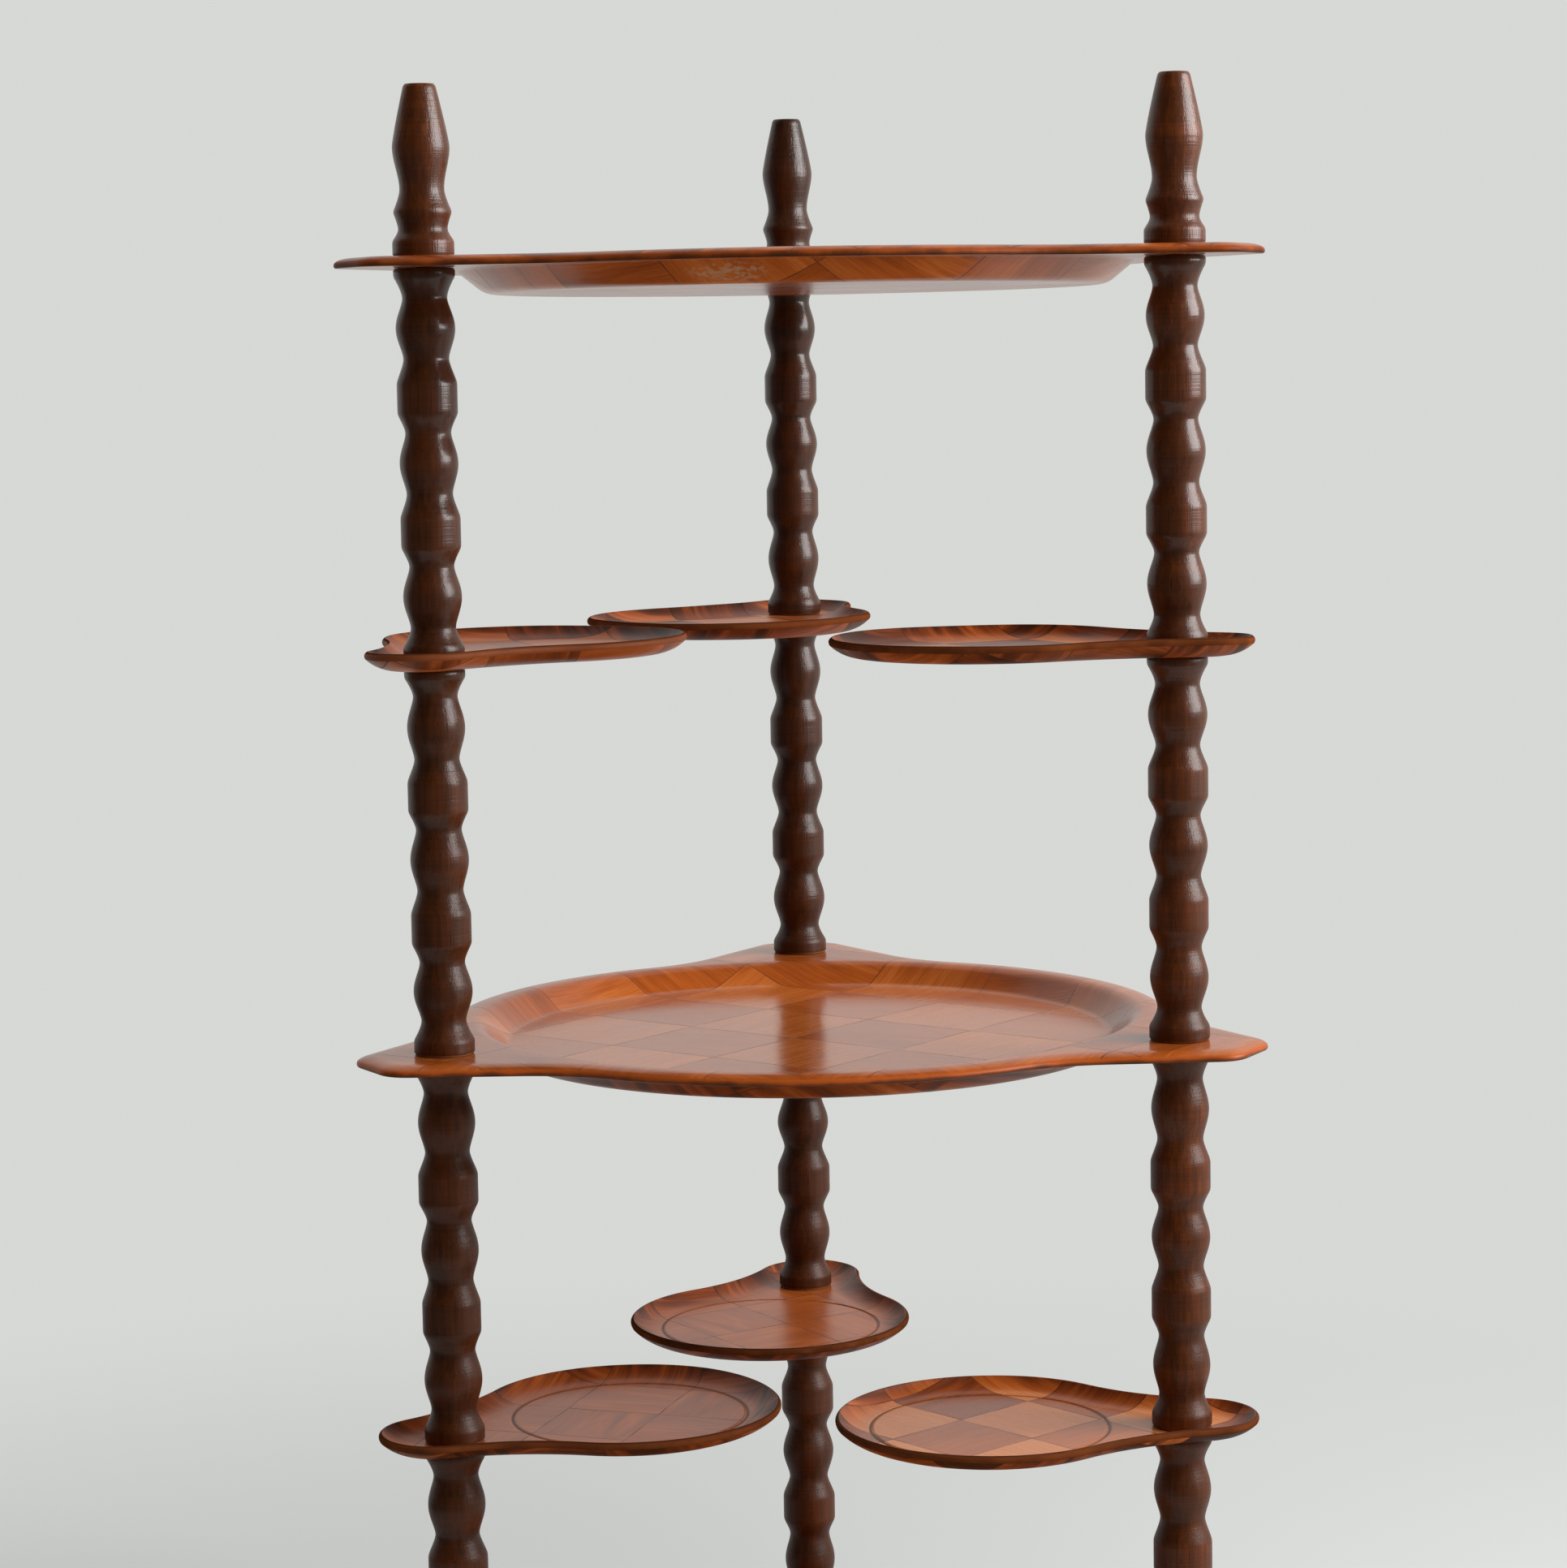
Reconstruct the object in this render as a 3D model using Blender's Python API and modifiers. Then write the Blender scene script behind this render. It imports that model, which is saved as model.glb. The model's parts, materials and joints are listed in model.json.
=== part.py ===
"""Three-post plant stand: turned posts carry three fixed dished trays and six swinging trays.

Metres, +Z up. The stand rests on z = 0 and the origin is under the middle of its bounding box.
-Y is the open front between the left and the right post, and the third post is at the back.
"""
import math

import bmesh
import bpy
from mathutils import Matrix

# Plan of the stand
POST_SPACING = 0.400          # centre to centre, an equal-sided triangle
GAP = 0.0003                  # left between pieces that touch

# Turned spindle, bottom to top: base, five beads, cove, collar
SPINDLE_LENGTH = 0.2091       # one storey of a post between two trays
BASE_RADIUS = 0.0165
BASE_BAND = 0.0075            # straight band at the foot of the base
BASE_HEIGHT = 0.0176
NECK_RADIUS = 0.0122
ROUND_BEAD_RADIUS = 0.0159
ROUND_BEAD_POWER = 1.5        # 1 swells as a sine, more than 1 leaves a wider neck
DRUM_RADIUS = 0.0163          # flat-sided bead
DRUM_LOWER_SHOULDER = 0.0100
DRUM_FLAT = 0.0162
DRUM_UPPER_SHOULDER = 0.0124
BEAD_ORDER = ("round", "drum", "round", "drum", "round")
COLLAR_RADIUS = 0.0165
COLLAR_BAND = 0.0045          # straight band under the tray
COVE_HEIGHT = 0.0107          # hollow between the top neck and the collar band
COVE_SWELL = 0.38             # share of the width gained half way along a cove or shoulder

# Turned finial on each post
FINIAL_BAND = 0.0082
FINIAL_COVE = 0.0062
FINIAL_COVE_RADIUS = 0.0131   # hollow between the band and the ring
FINIAL_RING_RADIUS = 0.0158
FINIAL_RING_LOWER = 0.0090    # hollow to the crest of the ring
FINIAL_RING_UPPER = 0.0115    # crest of the ring to the neck
FINIAL_NECK_RADIUS = 0.0119
FINIAL_BULB_RADIUS = 0.0155
FINIAL_BULB_RISE = 0.0230     # neck to the widest part of the bulb
FINIAL_BULB_POWER = 2.0       # 1 is a quarter sine, more than 1 hollows the bulb's foot
FINIAL_TAPER = 0.0326         # widest part of the bulb to the flat top
FINIAL_TAPER_POWER = 1.15     # 1 is a straight cone
FINIAL_TOP_RADIUS = 0.0084

# Turned foot under each post
FOOT_BAND = 0.0050
FOOT_COVE = 0.0100
FOOT_BALL_RADIUS = 0.0185
FOOT_BALL_HEIGHT = 0.0300
FOOT_BALL_POWER = 0.8
FOOT_TAPER = 0.0200
FOOT_TAPER_KNEE = 0.60        # share of the taper's height where it starts to spread
FOOT_PAD_RADIUS = 0.0105

# Double-ended stud that joins two turned pieces through a tray
STUD_RADIUS = 0.0040
STUD_DEPTH = 0.0180           # length inside each turned piece
STUD_CLEARANCE = 0.0003       # round the stud, in the wood and in the tray

# Fixed tray: round dish with an ear over each post
FIXED_SHEET = 0.0056
POST_OUTSET = 0.025           # post axis beyond the round edge of the tray
EAR_OVERHANG = 0.045          # ear tip beyond the post axis
EAR_TIP_WIDTH = 0.046
EAR_SPLAY = math.radians(31.5)
EAR_CORNER_RADIUS = 0.014
EAR_FILLET_RADIUS = 0.090
RIM_WIDTH = 0.018             # level rim between the round edge and the dish
DISH_DEPTH = 0.0125
DISH_WALL_RUN = 0.0155        # level width of the sloping wall
DISH_LIP_ROUND = 0.0040       # top side, where the rim turns down
DISH_ROOT_ROUND = 0.0012      # under side of the same turn
DISH_FLOOR_ROUND = 0.0120     # top side, where the wall meets the floor

# Swinging tray: pear outline round the pivot, with a turned-up lip
SWING_SHEET = 0.0040
SWING_CLEARANCE = 0.0075      # from a tray's far end to the point midway between two posts
PEAR_SEAT_MARGIN = 0.0009     # level floor beside the post's base
PEAR_TIP_OFFSET = 0.010       # centre of the narrow end, behind the pivot
PEAR_BOWL_RADIUS = 0.0835
PEAR_FLANK_RADIUS = 0.140     # hollow curve of the flanks
LIP_BEND_RADIUS = 0.0195
LIP_ANGLE = math.radians(52.0)
GROOVE_MARGIN = 0.0008        # level floor left between the ring and the lip's root
GROOVE_WIDTH = 0.0022         # shallow ring turned into the floor, about the wide end
GROOVE_DEPTH = 0.0006

# Facets
TURNED_SEGMENTS = 12
STUD_SEGMENTS = 10
DISH_SEGMENTS = 40
GROOVE_SEGMENTS = 32
BOWL_ARC_STEPS = 19
FLANK_ARC_STEPS = 3
TIP_ARC_STEPS = 9
LIP_STEPS = 2
BEAD_STEPS = 4
BULB_STEPS = 3
ARC_STEPS = 4
ROUND_STEPS = 2
RIM_STEPS = 8
SHARP_ANGLE = math.radians(35.0)
WELD_DISTANCE = 0.000005

# Where each swinging tray points, in degrees from +X, as it stands
SWING_REST = {
    ("lower", "left"): 26.0,
    ("lower", "right"): 177.0,
    ("lower", "back"): -103.0,
    ("upper", "left"): 62.0,
    ("upper", "right"): 165.0,
    ("upper", "back"): -113.0,
}

# Sizes that follow from the ones above
DRUM_HEIGHT = DRUM_LOWER_SHOULDER + DRUM_FLAT + DRUM_UPPER_SHOULDER
BEADS_HEIGHT = SPINDLE_LENGTH - BASE_HEIGHT - COVE_HEIGHT - COLLAR_BAND
DRUM_COUNT = BEAD_ORDER.count("drum")
ROUND_BEAD_HEIGHT = (BEADS_HEIGHT - DRUM_COUNT * DRUM_HEIGHT) / (len(BEAD_ORDER) - DRUM_COUNT)
FOOT_HEIGHT = FOOT_BAND + FOOT_COVE + FOOT_BALL_HEIGHT + FOOT_TAPER
LIP_RUN = LIP_BEND_RADIUS * math.sin(LIP_ANGLE)
LIP_THICKNESS_OUT = SWING_SHEET * math.sin(LIP_ANGLE)
SWING_REACH = POST_SPACING / 2.0 - SWING_CLEARANCE
PEAR_BOWL_OFFSET = SWING_REACH - LIP_THICKNESS_OUT - PEAR_BOWL_RADIUS   # wide end, ahead of the pivot
PEAR_SEAT_RADIUS = BASE_RADIUS + PEAR_SEAT_MARGIN + LIP_RUN             # pivot to the flank
GROOVE_OUTER_RADIUS = PEAR_BOWL_RADIUS - LIP_RUN - GROOVE_MARGIN
# The flank's hollow curve touches the wide end and a circle of the seat's radius round the pivot
FLANK_TO_SEAT = PEAR_FLANK_RADIUS + PEAR_SEAT_RADIUS
FLANK_TO_BOWL = PEAR_FLANK_RADIUS + PEAR_BOWL_RADIUS
FLANK_X = (PEAR_BOWL_OFFSET ** 2 + FLANK_TO_SEAT ** 2 - FLANK_TO_BOWL ** 2) / (2.0 * PEAR_BOWL_OFFSET)
FLANK_Y = math.sqrt(FLANK_TO_SEAT ** 2 - FLANK_X ** 2)
PEAR_TIP_RADIUS = math.hypot(FLANK_X + PEAR_TIP_OFFSET, FLANK_Y) - PEAR_FLANK_RADIUS
POST_CIRCLE = POST_SPACING / math.sqrt(3.0)
FIXED_RADIUS = POST_CIRCLE - POST_OUTSET
DISH_MOUTH_RADIUS = FIXED_RADIUS - RIM_WIDTH
EAR_REACH = POST_CIRCLE + EAR_OVERHANG
BORE_RADIUS = STUD_RADIUS + STUD_CLEARANCE
BORE_DEPTH = STUD_DEPTH + GAP
CENTRE_Y = (FIXED_RADIUS - EAR_REACH) / 2.0   # centres the box of the trays on the origin
POST_ANGLES = {"left": -150.0, "right": -30.0, "back": 90.0}
LEVELS = ("bottom", "lower", "middle", "upper", "top")
FIXED_LEVELS = ("bottom", "middle", "top")


def post_place(post):
    """Axis of a post in plan."""
    turn = math.radians(POST_ANGLES[post])
    return POST_CIRCLE * math.cos(turn), CENTRE_Y + POST_CIRCLE * math.sin(turn)


def sheet_of(level):
    return FIXED_SHEET if level in FIXED_LEVELS else SWING_SHEET


def top_faces():
    """Height of the flat face that the posts stand on, for each tray level."""
    heights = {}
    seat = FOOT_HEIGHT
    for level in LEVELS:
        heights[level] = seat + GAP + sheet_of(level)
        seat = heights[level] + GAP + SPINDLE_LENGTH
    return heights


TOP_FACE = top_faces()


def clear_scene():
    for obj in list(bpy.data.objects):
        bpy.data.objects.remove(obj, do_unlink=True)


def new_collection(name):
    collection = bpy.data.collections.new(name)
    bpy.context.scene.collection.children.link(collection)
    return collection


def new_material(name, colour, roughness, metallic=0.0):
    material = bpy.data.materials.new(name)
    material.use_nodes = True
    shader = material.node_tree.nodes["Principled BSDF"]
    shader.inputs["Base Color"].default_value = (*colour, 1.0)
    shader.inputs["Roughness"].default_value = roughness
    shader.inputs["Metallic"].default_value = metallic
    return material


clear_scene()
PARTS = new_collection("plant_stand")
CUTTERS = new_collection("plant_stand_cutters")
DARK_WOOD = new_material("dark_turned_wood", (0.055, 0.022, 0.013), 0.28)
VENEER = new_material("tray_veneer", (0.330, 0.105, 0.032), 0.25)
STEEL = new_material("stud_steel", (0.560, 0.560, 0.580), 0.40, 1.0)


def mix(low, high, share):
    return low + (high - low) * share


def bead(foot, height, neck, crown, power):
    """Profile points of a bead from its lower neck up, without its upper neck."""
    points = []
    for step in range(BEAD_STEPS):
        share = step / BEAD_STEPS
        swell = math.sin(math.pi * share) ** power
        points.append((mix(neck, crown, swell), foot + height * share))
    return points


def drum(foot, neck):
    """Profile points of a flat-sided bead from its lower neck up, without its upper neck."""
    shoulder = mix(neck, DRUM_RADIUS, COVE_SWELL)
    return [
        (neck, foot),
        (shoulder, foot + DRUM_LOWER_SHOULDER / 2.0),
        (DRUM_RADIUS, foot + DRUM_LOWER_SHOULDER),
        (DRUM_RADIUS, foot + DRUM_LOWER_SHOULDER + DRUM_FLAT),
        (shoulder, foot + DRUM_HEIGHT - DRUM_UPPER_SHOULDER / 2.0),
    ]


def spindle_profile():
    """Radius and height of the spindle's outside, bottom to top."""
    points = [(BASE_RADIUS, 0.0), (BASE_RADIUS, BASE_BAND)]
    points.append((mix(NECK_RADIUS, BASE_RADIUS, COVE_SWELL), (BASE_BAND + BASE_HEIGHT) / 2.0))
    foot = BASE_HEIGHT
    for shape in BEAD_ORDER:
        if shape == "drum":
            points += drum(foot, NECK_RADIUS)
            foot += DRUM_HEIGHT
        else:
            points += bead(foot, ROUND_BEAD_HEIGHT, NECK_RADIUS, ROUND_BEAD_RADIUS, ROUND_BEAD_POWER)
            foot += ROUND_BEAD_HEIGHT
    points.append((NECK_RADIUS, foot))
    points.append((mix(NECK_RADIUS, COLLAR_RADIUS, COVE_SWELL), foot + COVE_HEIGHT / 2.0))
    points.append((COLLAR_RADIUS, foot + COVE_HEIGHT))
    points.append((COLLAR_RADIUS, SPINDLE_LENGTH))
    return points


def finial_profile():
    """Radius and height of the finial's outside, bottom to top."""
    hollow = FINIAL_BAND + FINIAL_COVE
    crest = hollow + FINIAL_RING_LOWER
    neck = crest + FINIAL_RING_UPPER
    crown = neck + FINIAL_BULB_RISE
    points = [
        (COLLAR_RADIUS, 0.0),
        (COLLAR_RADIUS, FINIAL_BAND),
        (mix(FINIAL_COVE_RADIUS, COLLAR_RADIUS, COVE_SWELL), hollow - FINIAL_COVE / 2.0),
        (FINIAL_COVE_RADIUS, hollow),
        (mix(FINIAL_COVE_RADIUS, FINIAL_RING_RADIUS, COVE_SWELL), crest - FINIAL_RING_LOWER / 2.0),
        (FINIAL_RING_RADIUS, crest),
        (mix(FINIAL_NECK_RADIUS, FINIAL_RING_RADIUS, COVE_SWELL), neck - FINIAL_RING_UPPER / 2.0),
    ]
    for step in range(BULB_STEPS):
        share = step / BULB_STEPS
        swell = math.sin(math.pi / 2.0 * share) ** FINIAL_BULB_POWER
        points.append((mix(FINIAL_NECK_RADIUS, FINIAL_BULB_RADIUS, swell), neck + FINIAL_BULB_RISE * share))
    for step in range(BULB_STEPS + 1):
        share = step / BULB_STEPS
        fall = share ** FINIAL_TAPER_POWER
        points.append((mix(FINIAL_BULB_RADIUS, FINIAL_TOP_RADIUS, fall), crown + FINIAL_TAPER * share))
    return points


def foot_profile():
    """Radius and height of the foot's outside, bottom to top."""
    points = [(FOOT_PAD_RADIUS, 0.0)]
    points.append((mix(FOOT_PAD_RADIUS, NECK_RADIUS, COVE_SWELL), FOOT_TAPER * FOOT_TAPER_KNEE))
    points += bead(FOOT_TAPER, FOOT_BALL_HEIGHT, NECK_RADIUS, FOOT_BALL_RADIUS, FOOT_BALL_POWER)
    top = FOOT_TAPER + FOOT_BALL_HEIGHT
    points.append((NECK_RADIUS, top))
    points.append((mix(NECK_RADIUS, COLLAR_RADIUS, COVE_SWELL), top + FOOT_COVE / 2.0))
    points.append((COLLAR_RADIUS, top + FOOT_COVE))
    points.append((COLLAR_RADIUS, FOOT_HEIGHT))
    return points


def with_bores(outside, bottom_bore, top_bore):
    """Closed profile, top to bottom down the outside, with blind bores for the studs."""
    top = outside[-1][1]
    if top_bore:
        head = [(0.0, top - BORE_DEPTH), (BORE_RADIUS, top - BORE_DEPTH), (BORE_RADIUS, top)]
    else:
        head = [(0.0, top)]
    if bottom_bore:
        tail = [(BORE_RADIUS, 0.0), (BORE_RADIUS, BORE_DEPTH), (0.0, BORE_DEPTH)]
    else:
        tail = [(0.0, 0.0)]
    return head + outside[::-1] + tail


def finish_shading(mesh):
    mesh.shade_smooth()
    mesh.set_sharp_from_angle(angle=SHARP_ANGLE)


def turned_object(name, profile, segments, collection):
    """Object whose profile, radius along +X, is turned about Z by a Screw modifier."""
    mesh = bpy.data.meshes.new(name)
    vertices = [(radius, 0.0, height) for radius, height in profile]
    edges = [(i, i + 1) for i in range(len(vertices) - 1)]
    mesh.from_pydata(vertices, edges, [])
    obj = bpy.data.objects.new(name, mesh)
    collection.objects.link(obj)
    screw = obj.modifiers.new("turn", "SCREW")
    screw.axis = "Z"
    screw.angle = 2.0 * math.pi
    screw.steps = segments
    screw.render_steps = segments
    screw.use_merge_vertices = True
    screw.merge_threshold = WELD_DISTANCE
    return obj


def baked_mesh(obj):
    """Mesh of an object with its modifiers applied. The object itself is removed."""
    bpy.context.view_layer.update()
    graph = bpy.context.evaluated_depsgraph_get()
    mesh = bpy.data.meshes.new_from_object(obj.evaluated_get(graph))
    bpy.data.objects.remove(obj, do_unlink=True)
    welded = bmesh.new()
    welded.from_mesh(mesh)
    bmesh.ops.remove_doubles(welded, verts=welded.verts, dist=WELD_DISTANCE)
    welded.to_mesh(mesh)
    welded.free()
    finish_shading(mesh)
    return mesh


def place(name, mesh, material, location, turn=0.0):
    """One named piece, with its origin on its post's axis or on the stand's axis."""
    obj = bpy.data.objects.new(name, mesh)
    obj.location = location
    obj.rotation_euler = (0.0, 0.0, turn)
    PARTS.objects.link(obj)
    if material.name not in mesh.materials:
        mesh.materials.append(material)
    return obj


def as_cutter(obj):
    obj.hide_render = True
    obj.display_type = "WIRE"
    return obj


def boolean(obj, cutter, operation):
    step = obj.modifiers.new(cutter.name, "BOOLEAN")
    step.operation = operation
    step.solver = "EXACT"
    step.object = cutter


def stud_hole(name, x, y, sheet):
    """Cutter for the hole that a stud passes through, in a sheet whose top face is at z = 0."""
    bpy.ops.mesh.primitive_cylinder_add(
        vertices=STUD_SEGMENTS, radius=BORE_RADIUS, depth=3.0 * sheet, location=(x, y, -sheet / 2.0))
    cutter = bpy.context.object
    cutter.name = name
    for collection in list(cutter.users_collection):
        collection.objects.unlink(cutter)
    CUTTERS.objects.link(cutter)
    return as_cutter(cutter)


def arc(centre, radius, start, end, steps):
    """Points of an arc, both ends included."""
    points = []
    for step in range(steps + 1):
        angle = mix(start, end, step / steps)
        points.append((centre[0] + radius * math.cos(angle), centre[1] + radius * math.sin(angle)))
    return points


def half_ear():
    """Half of an ear, from its tip to the round rim: distance along the ear and to its side."""
    corner = (EAR_REACH, EAR_TIP_WIDTH / 2.0)
    along = (-math.cos(EAR_SPLAY), math.sin(EAR_SPLAY))
    outward = (math.sin(EAR_SPLAY), math.cos(EAR_SPLAY))
    turn = math.pi / 2.0 - EAR_SPLAY
    tip_centre = (corner[0] - EAR_CORNER_RADIUS, corner[1] - EAR_CORNER_RADIUS * math.tan(turn / 2.0))
    points = arc(tip_centre, EAR_CORNER_RADIUS, 0.0, turn, ARC_STEPS)
    # The fillet touches the ear's straight flank and the round rim
    base = [corner[i] + EAR_FILLET_RADIUS * outward[i] for i in range(2)]
    reach = FIXED_RADIUS + EAR_FILLET_RADIUS
    half_b = base[0] * along[0] + base[1] * along[1]
    rest = base[0] ** 2 + base[1] ** 2 - reach ** 2
    travel = -half_b - math.sqrt(half_b ** 2 - rest)
    centre = [base[i] + travel * along[i] for i in range(2)]
    start = math.atan2(-outward[1], -outward[0])
    end = math.atan2(-centre[1], -centre[0])
    return points + arc(centre, EAR_FILLET_RADIUS, start, end, ARC_STEPS)


def fixed_outline():
    """Outline of a fixed tray in plan, anticlockwise about the stand's axis."""
    half = half_ear()
    rim_start = math.atan2(half[-1][1], half[-1][0])
    rim_end = 2.0 * math.pi / 3.0 - rim_start
    outline = []
    for post in ("left", "right", "back"):
        turn = math.radians(POST_ANGLES[post])
        ear = [(along, -side) for along, side in reversed(half)] + half
        local = ear + arc((0.0, 0.0), FIXED_RADIUS, rim_start, rim_end, RIM_STEPS)[1:-1]
        for x, y in local:
            across = x * math.cos(turn) - y * math.sin(turn)
            outline.append((across, x * math.sin(turn) + y * math.cos(turn)))
    return outline


def flat_plate(name, outline, thickness):
    """Closed plate from an outline, with its top face at z = 0."""
    curve = bpy.data.curves.new(name, "CURVE")
    curve.dimensions = "2D"
    curve.fill_mode = "BOTH"
    curve.extrude = thickness / 2.0
    spline = curve.splines.new("POLY")
    spline.points.add(len(outline) - 1)
    for point, (x, y) in zip(spline.points, outline):
        point.co = (x, y, 0.0, 1.0)
    spline.use_cyclic_u = True
    drawn = bpy.data.objects.new(name, curve)
    CUTTERS.objects.link(drawn)
    mesh = baked_mesh(drawn)
    mesh.transform(Matrix.Translation((0.0, 0.0, -thickness / 2.0)))
    plate = bpy.data.objects.new(name, mesh)
    CUTTERS.objects.link(plate)
    return plate


def rounded_corner(before, corner, after, radius):
    """Points of an arc that rounds one corner of a profile."""
    def towards(point):
        size = math.dist(point, corner)
        return [(point[i] - corner[i]) / size for i in range(2)]
    back, ahead = towards(before), towards(after)
    half = math.acos(back[0] * ahead[0] + back[1] * ahead[1]) / 2.0
    length = radius / math.tan(half)
    first = [corner[i] + length * back[i] for i in range(2)]
    last = [corner[i] + length * ahead[i] for i in range(2)]
    points = []
    for step in range(ROUND_STEPS + 1):
        share = step / ROUND_STEPS
        # A quadratic through the two tangent points stays inside the corner
        points.append(tuple(
            (1 - share) ** 2 * first[i] + 2 * share * (1 - share) * corner[i] + share ** 2 * last[i]
            for i in range(2)))
    return points


def dish_profile(drop):
    """Wall of the dish from its mouth to its floor: the top side at drop 0, the under side at the sheet."""
    slope = math.atan2(DISH_DEPTH, DISH_WALL_RUN)
    shift = drop * math.tan(slope / 2.0)
    mouth = (DISH_MOUTH_RADIUS + shift, -drop)
    floor = (DISH_MOUTH_RADIUS - DISH_WALL_RUN + shift, -DISH_DEPTH - drop)
    lip = DISH_LIP_ROUND if drop == 0.0 else DISH_ROOT_ROUND
    bend = DISH_FLOOR_ROUND + drop
    level_out = (mouth[0] + DISH_WALL_RUN, mouth[1])
    level_in = (0.0, floor[1])
    return rounded_corner(level_out, mouth, floor, lip), rounded_corner(mouth, floor, level_in, bend)


def fixed_tray_mesh():
    """Plate with ears, a dish pressed into it and a stud hole over each post."""
    plate = flat_plate("fixed_tray_plate", fixed_outline(), FIXED_SHEET)
    under_lip, under_bend = dish_profile(FIXED_SHEET)
    inside = -FIXED_SHEET / 2.0
    belly_points = [(0.0, inside), (under_lip[0][0], inside)] + under_lip + under_bend
    belly_points.append((0.0, under_bend[-1][1]))
    belly = as_cutter(turned_object("dish_belly", belly_points, DISH_SEGMENTS, CUTTERS))
    top_lip, top_bend = dish_profile(0.0)
    above = FIXED_SHEET
    hollow_points = [(0.0, above), (top_lip[0][0], above)] + top_lip + top_bend
    hollow_points.append((0.0, top_bend[-1][1]))
    hollow = as_cutter(turned_object("dish_hollow", hollow_points, DISH_SEGMENTS, CUTTERS))
    boolean(plate, belly, "UNION")
    boolean(plate, hollow, "DIFFERENCE")
    for post in POST_ANGLES:
        x, y = post_place(post)
        boolean(plate, stud_hole("tray_hole_" + post, x, y - CENTRE_Y, FIXED_SHEET), "DIFFERENCE")
    return baked_mesh(plate)


def pear_outline(offset):
    """Pear outline grown by offset: two round ends and the hollow flanks that touch both."""
    bowl_turn = math.atan2(FLANK_Y, FLANK_X - PEAR_BOWL_OFFSET)
    tip_turn = math.atan2(FLANK_Y, FLANK_X + PEAR_TIP_OFFSET)
    bowl = arc((PEAR_BOWL_OFFSET, 0.0), PEAR_BOWL_RADIUS + offset, -bowl_turn, bowl_turn, BOWL_ARC_STEPS)
    flank = arc((FLANK_X, FLANK_Y), PEAR_FLANK_RADIUS - offset,
                bowl_turn - math.pi, tip_turn - math.pi, FLANK_ARC_STEPS)[1:-1]
    tip = arc((-PEAR_TIP_OFFSET, 0.0), PEAR_TIP_RADIUS + offset,
              tip_turn, 2.0 * math.pi - tip_turn, TIP_ARC_STEPS)
    return bowl + flank + tip + [(x, -y) for x, y in reversed(flank)]


def ring_groove():
    """Cutter for the shallow ring in a swinging tray's floor, whose top face is at z = 0."""
    inner = GROOVE_OUTER_RADIUS - GROOVE_WIDTH
    section = [
        (inner, SWING_SHEET),
        (GROOVE_OUTER_RADIUS, SWING_SHEET),
        (GROOVE_OUTER_RADIUS, -GROOVE_DEPTH),
        (inner, -GROOVE_DEPTH),
        (inner, SWING_SHEET),
    ]
    mesh = baked_mesh(turned_object("ring_groove_section", section, GROOVE_SEGMENTS, CUTTERS))
    cutter = bpy.data.objects.new("ring_groove", mesh)
    cutter.location = (PEAR_BOWL_OFFSET, 0.0, 0.0)
    CUTTERS.objects.link(cutter)
    return as_cutter(cutter)


def swing_tray_mesh():
    """Pear-shaped sheet with its lip bent up, thickened downwards, with a hole at the pivot."""
    shell = bmesh.new()
    rings = []
    for step in range(LIP_STEPS + 1):
        bend = LIP_ANGLE * step / LIP_STEPS
        offset = LIP_BEND_RADIUS * math.sin(bend) - LIP_RUN
        height = LIP_BEND_RADIUS * (1.0 - math.cos(bend))
        rings.append([shell.verts.new((x, y, height)) for x, y in pear_outline(offset)])
    shell.faces.new(rings[0])
    for inner, outer in zip(rings, rings[1:]):
        for i in range(len(inner)):
            j = (i + 1) % len(inner)
            shell.faces.new((inner[i], outer[i], outer[j], inner[j]))
    mesh = bpy.data.meshes.new("swing_tray")
    shell.to_mesh(mesh)
    shell.free()
    tray = bpy.data.objects.new("swing_tray_shell", mesh)
    CUTTERS.objects.link(tray)
    sheet = tray.modifiers.new("sheet", "SOLIDIFY")
    sheet.thickness = SWING_SHEET
    sheet.offset = -1.0
    sheet.use_even_offset = True
    boolean(tray, stud_hole("tray_hole_pivot", 0.0, 0.0, SWING_SHEET), "DIFFERENCE")
    boolean(tray, ring_groove(), "DIFFERENCE")
    return baked_mesh(tray)


def stud_mesh(sheet):
    """Plain stud that passes through one tray, with its middle at the origin."""
    length = sheet + 2.0 * (GAP + STUD_DEPTH)
    bpy.ops.mesh.primitive_cylinder_add(vertices=STUD_SEGMENTS, radius=STUD_RADIUS, depth=length)
    return baked_mesh(bpy.context.object)


def turned_mesh(name, profile):
    return baked_mesh(turned_object(name, profile, TURNED_SEGMENTS, CUTTERS))


def build_posts():
    """Feet, spindles, finials and studs of the three posts."""
    foot = turned_mesh("foot", with_bores(foot_profile(), False, True))
    spindle = turned_mesh("spindle", with_bores(spindle_profile(), True, True))
    finial = turned_mesh("finial", with_bores(finial_profile(), True, False))
    studs = {level: stud_mesh(sheet_of(level)) for level in LEVELS}
    for post in POST_ANGLES:
        x, y = post_place(post)
        place("foot_" + post, foot, DARK_WOOD, (x, y, 0.0))
        for number, level in enumerate(LEVELS[:-1], start=1):
            seat = TOP_FACE[level] + GAP
            place("spindle_%s_%d" % (post, number), spindle, DARK_WOOD, (x, y, seat))
        place("finial_" + post, finial, DARK_WOOD, (x, y, TOP_FACE["top"] + GAP))
        for level in LEVELS:
            middle = TOP_FACE[level] - sheet_of(level) / 2.0
            place("stud_%s_%s" % (post, level), studs[level], STEEL, (x, y, middle))


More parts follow.
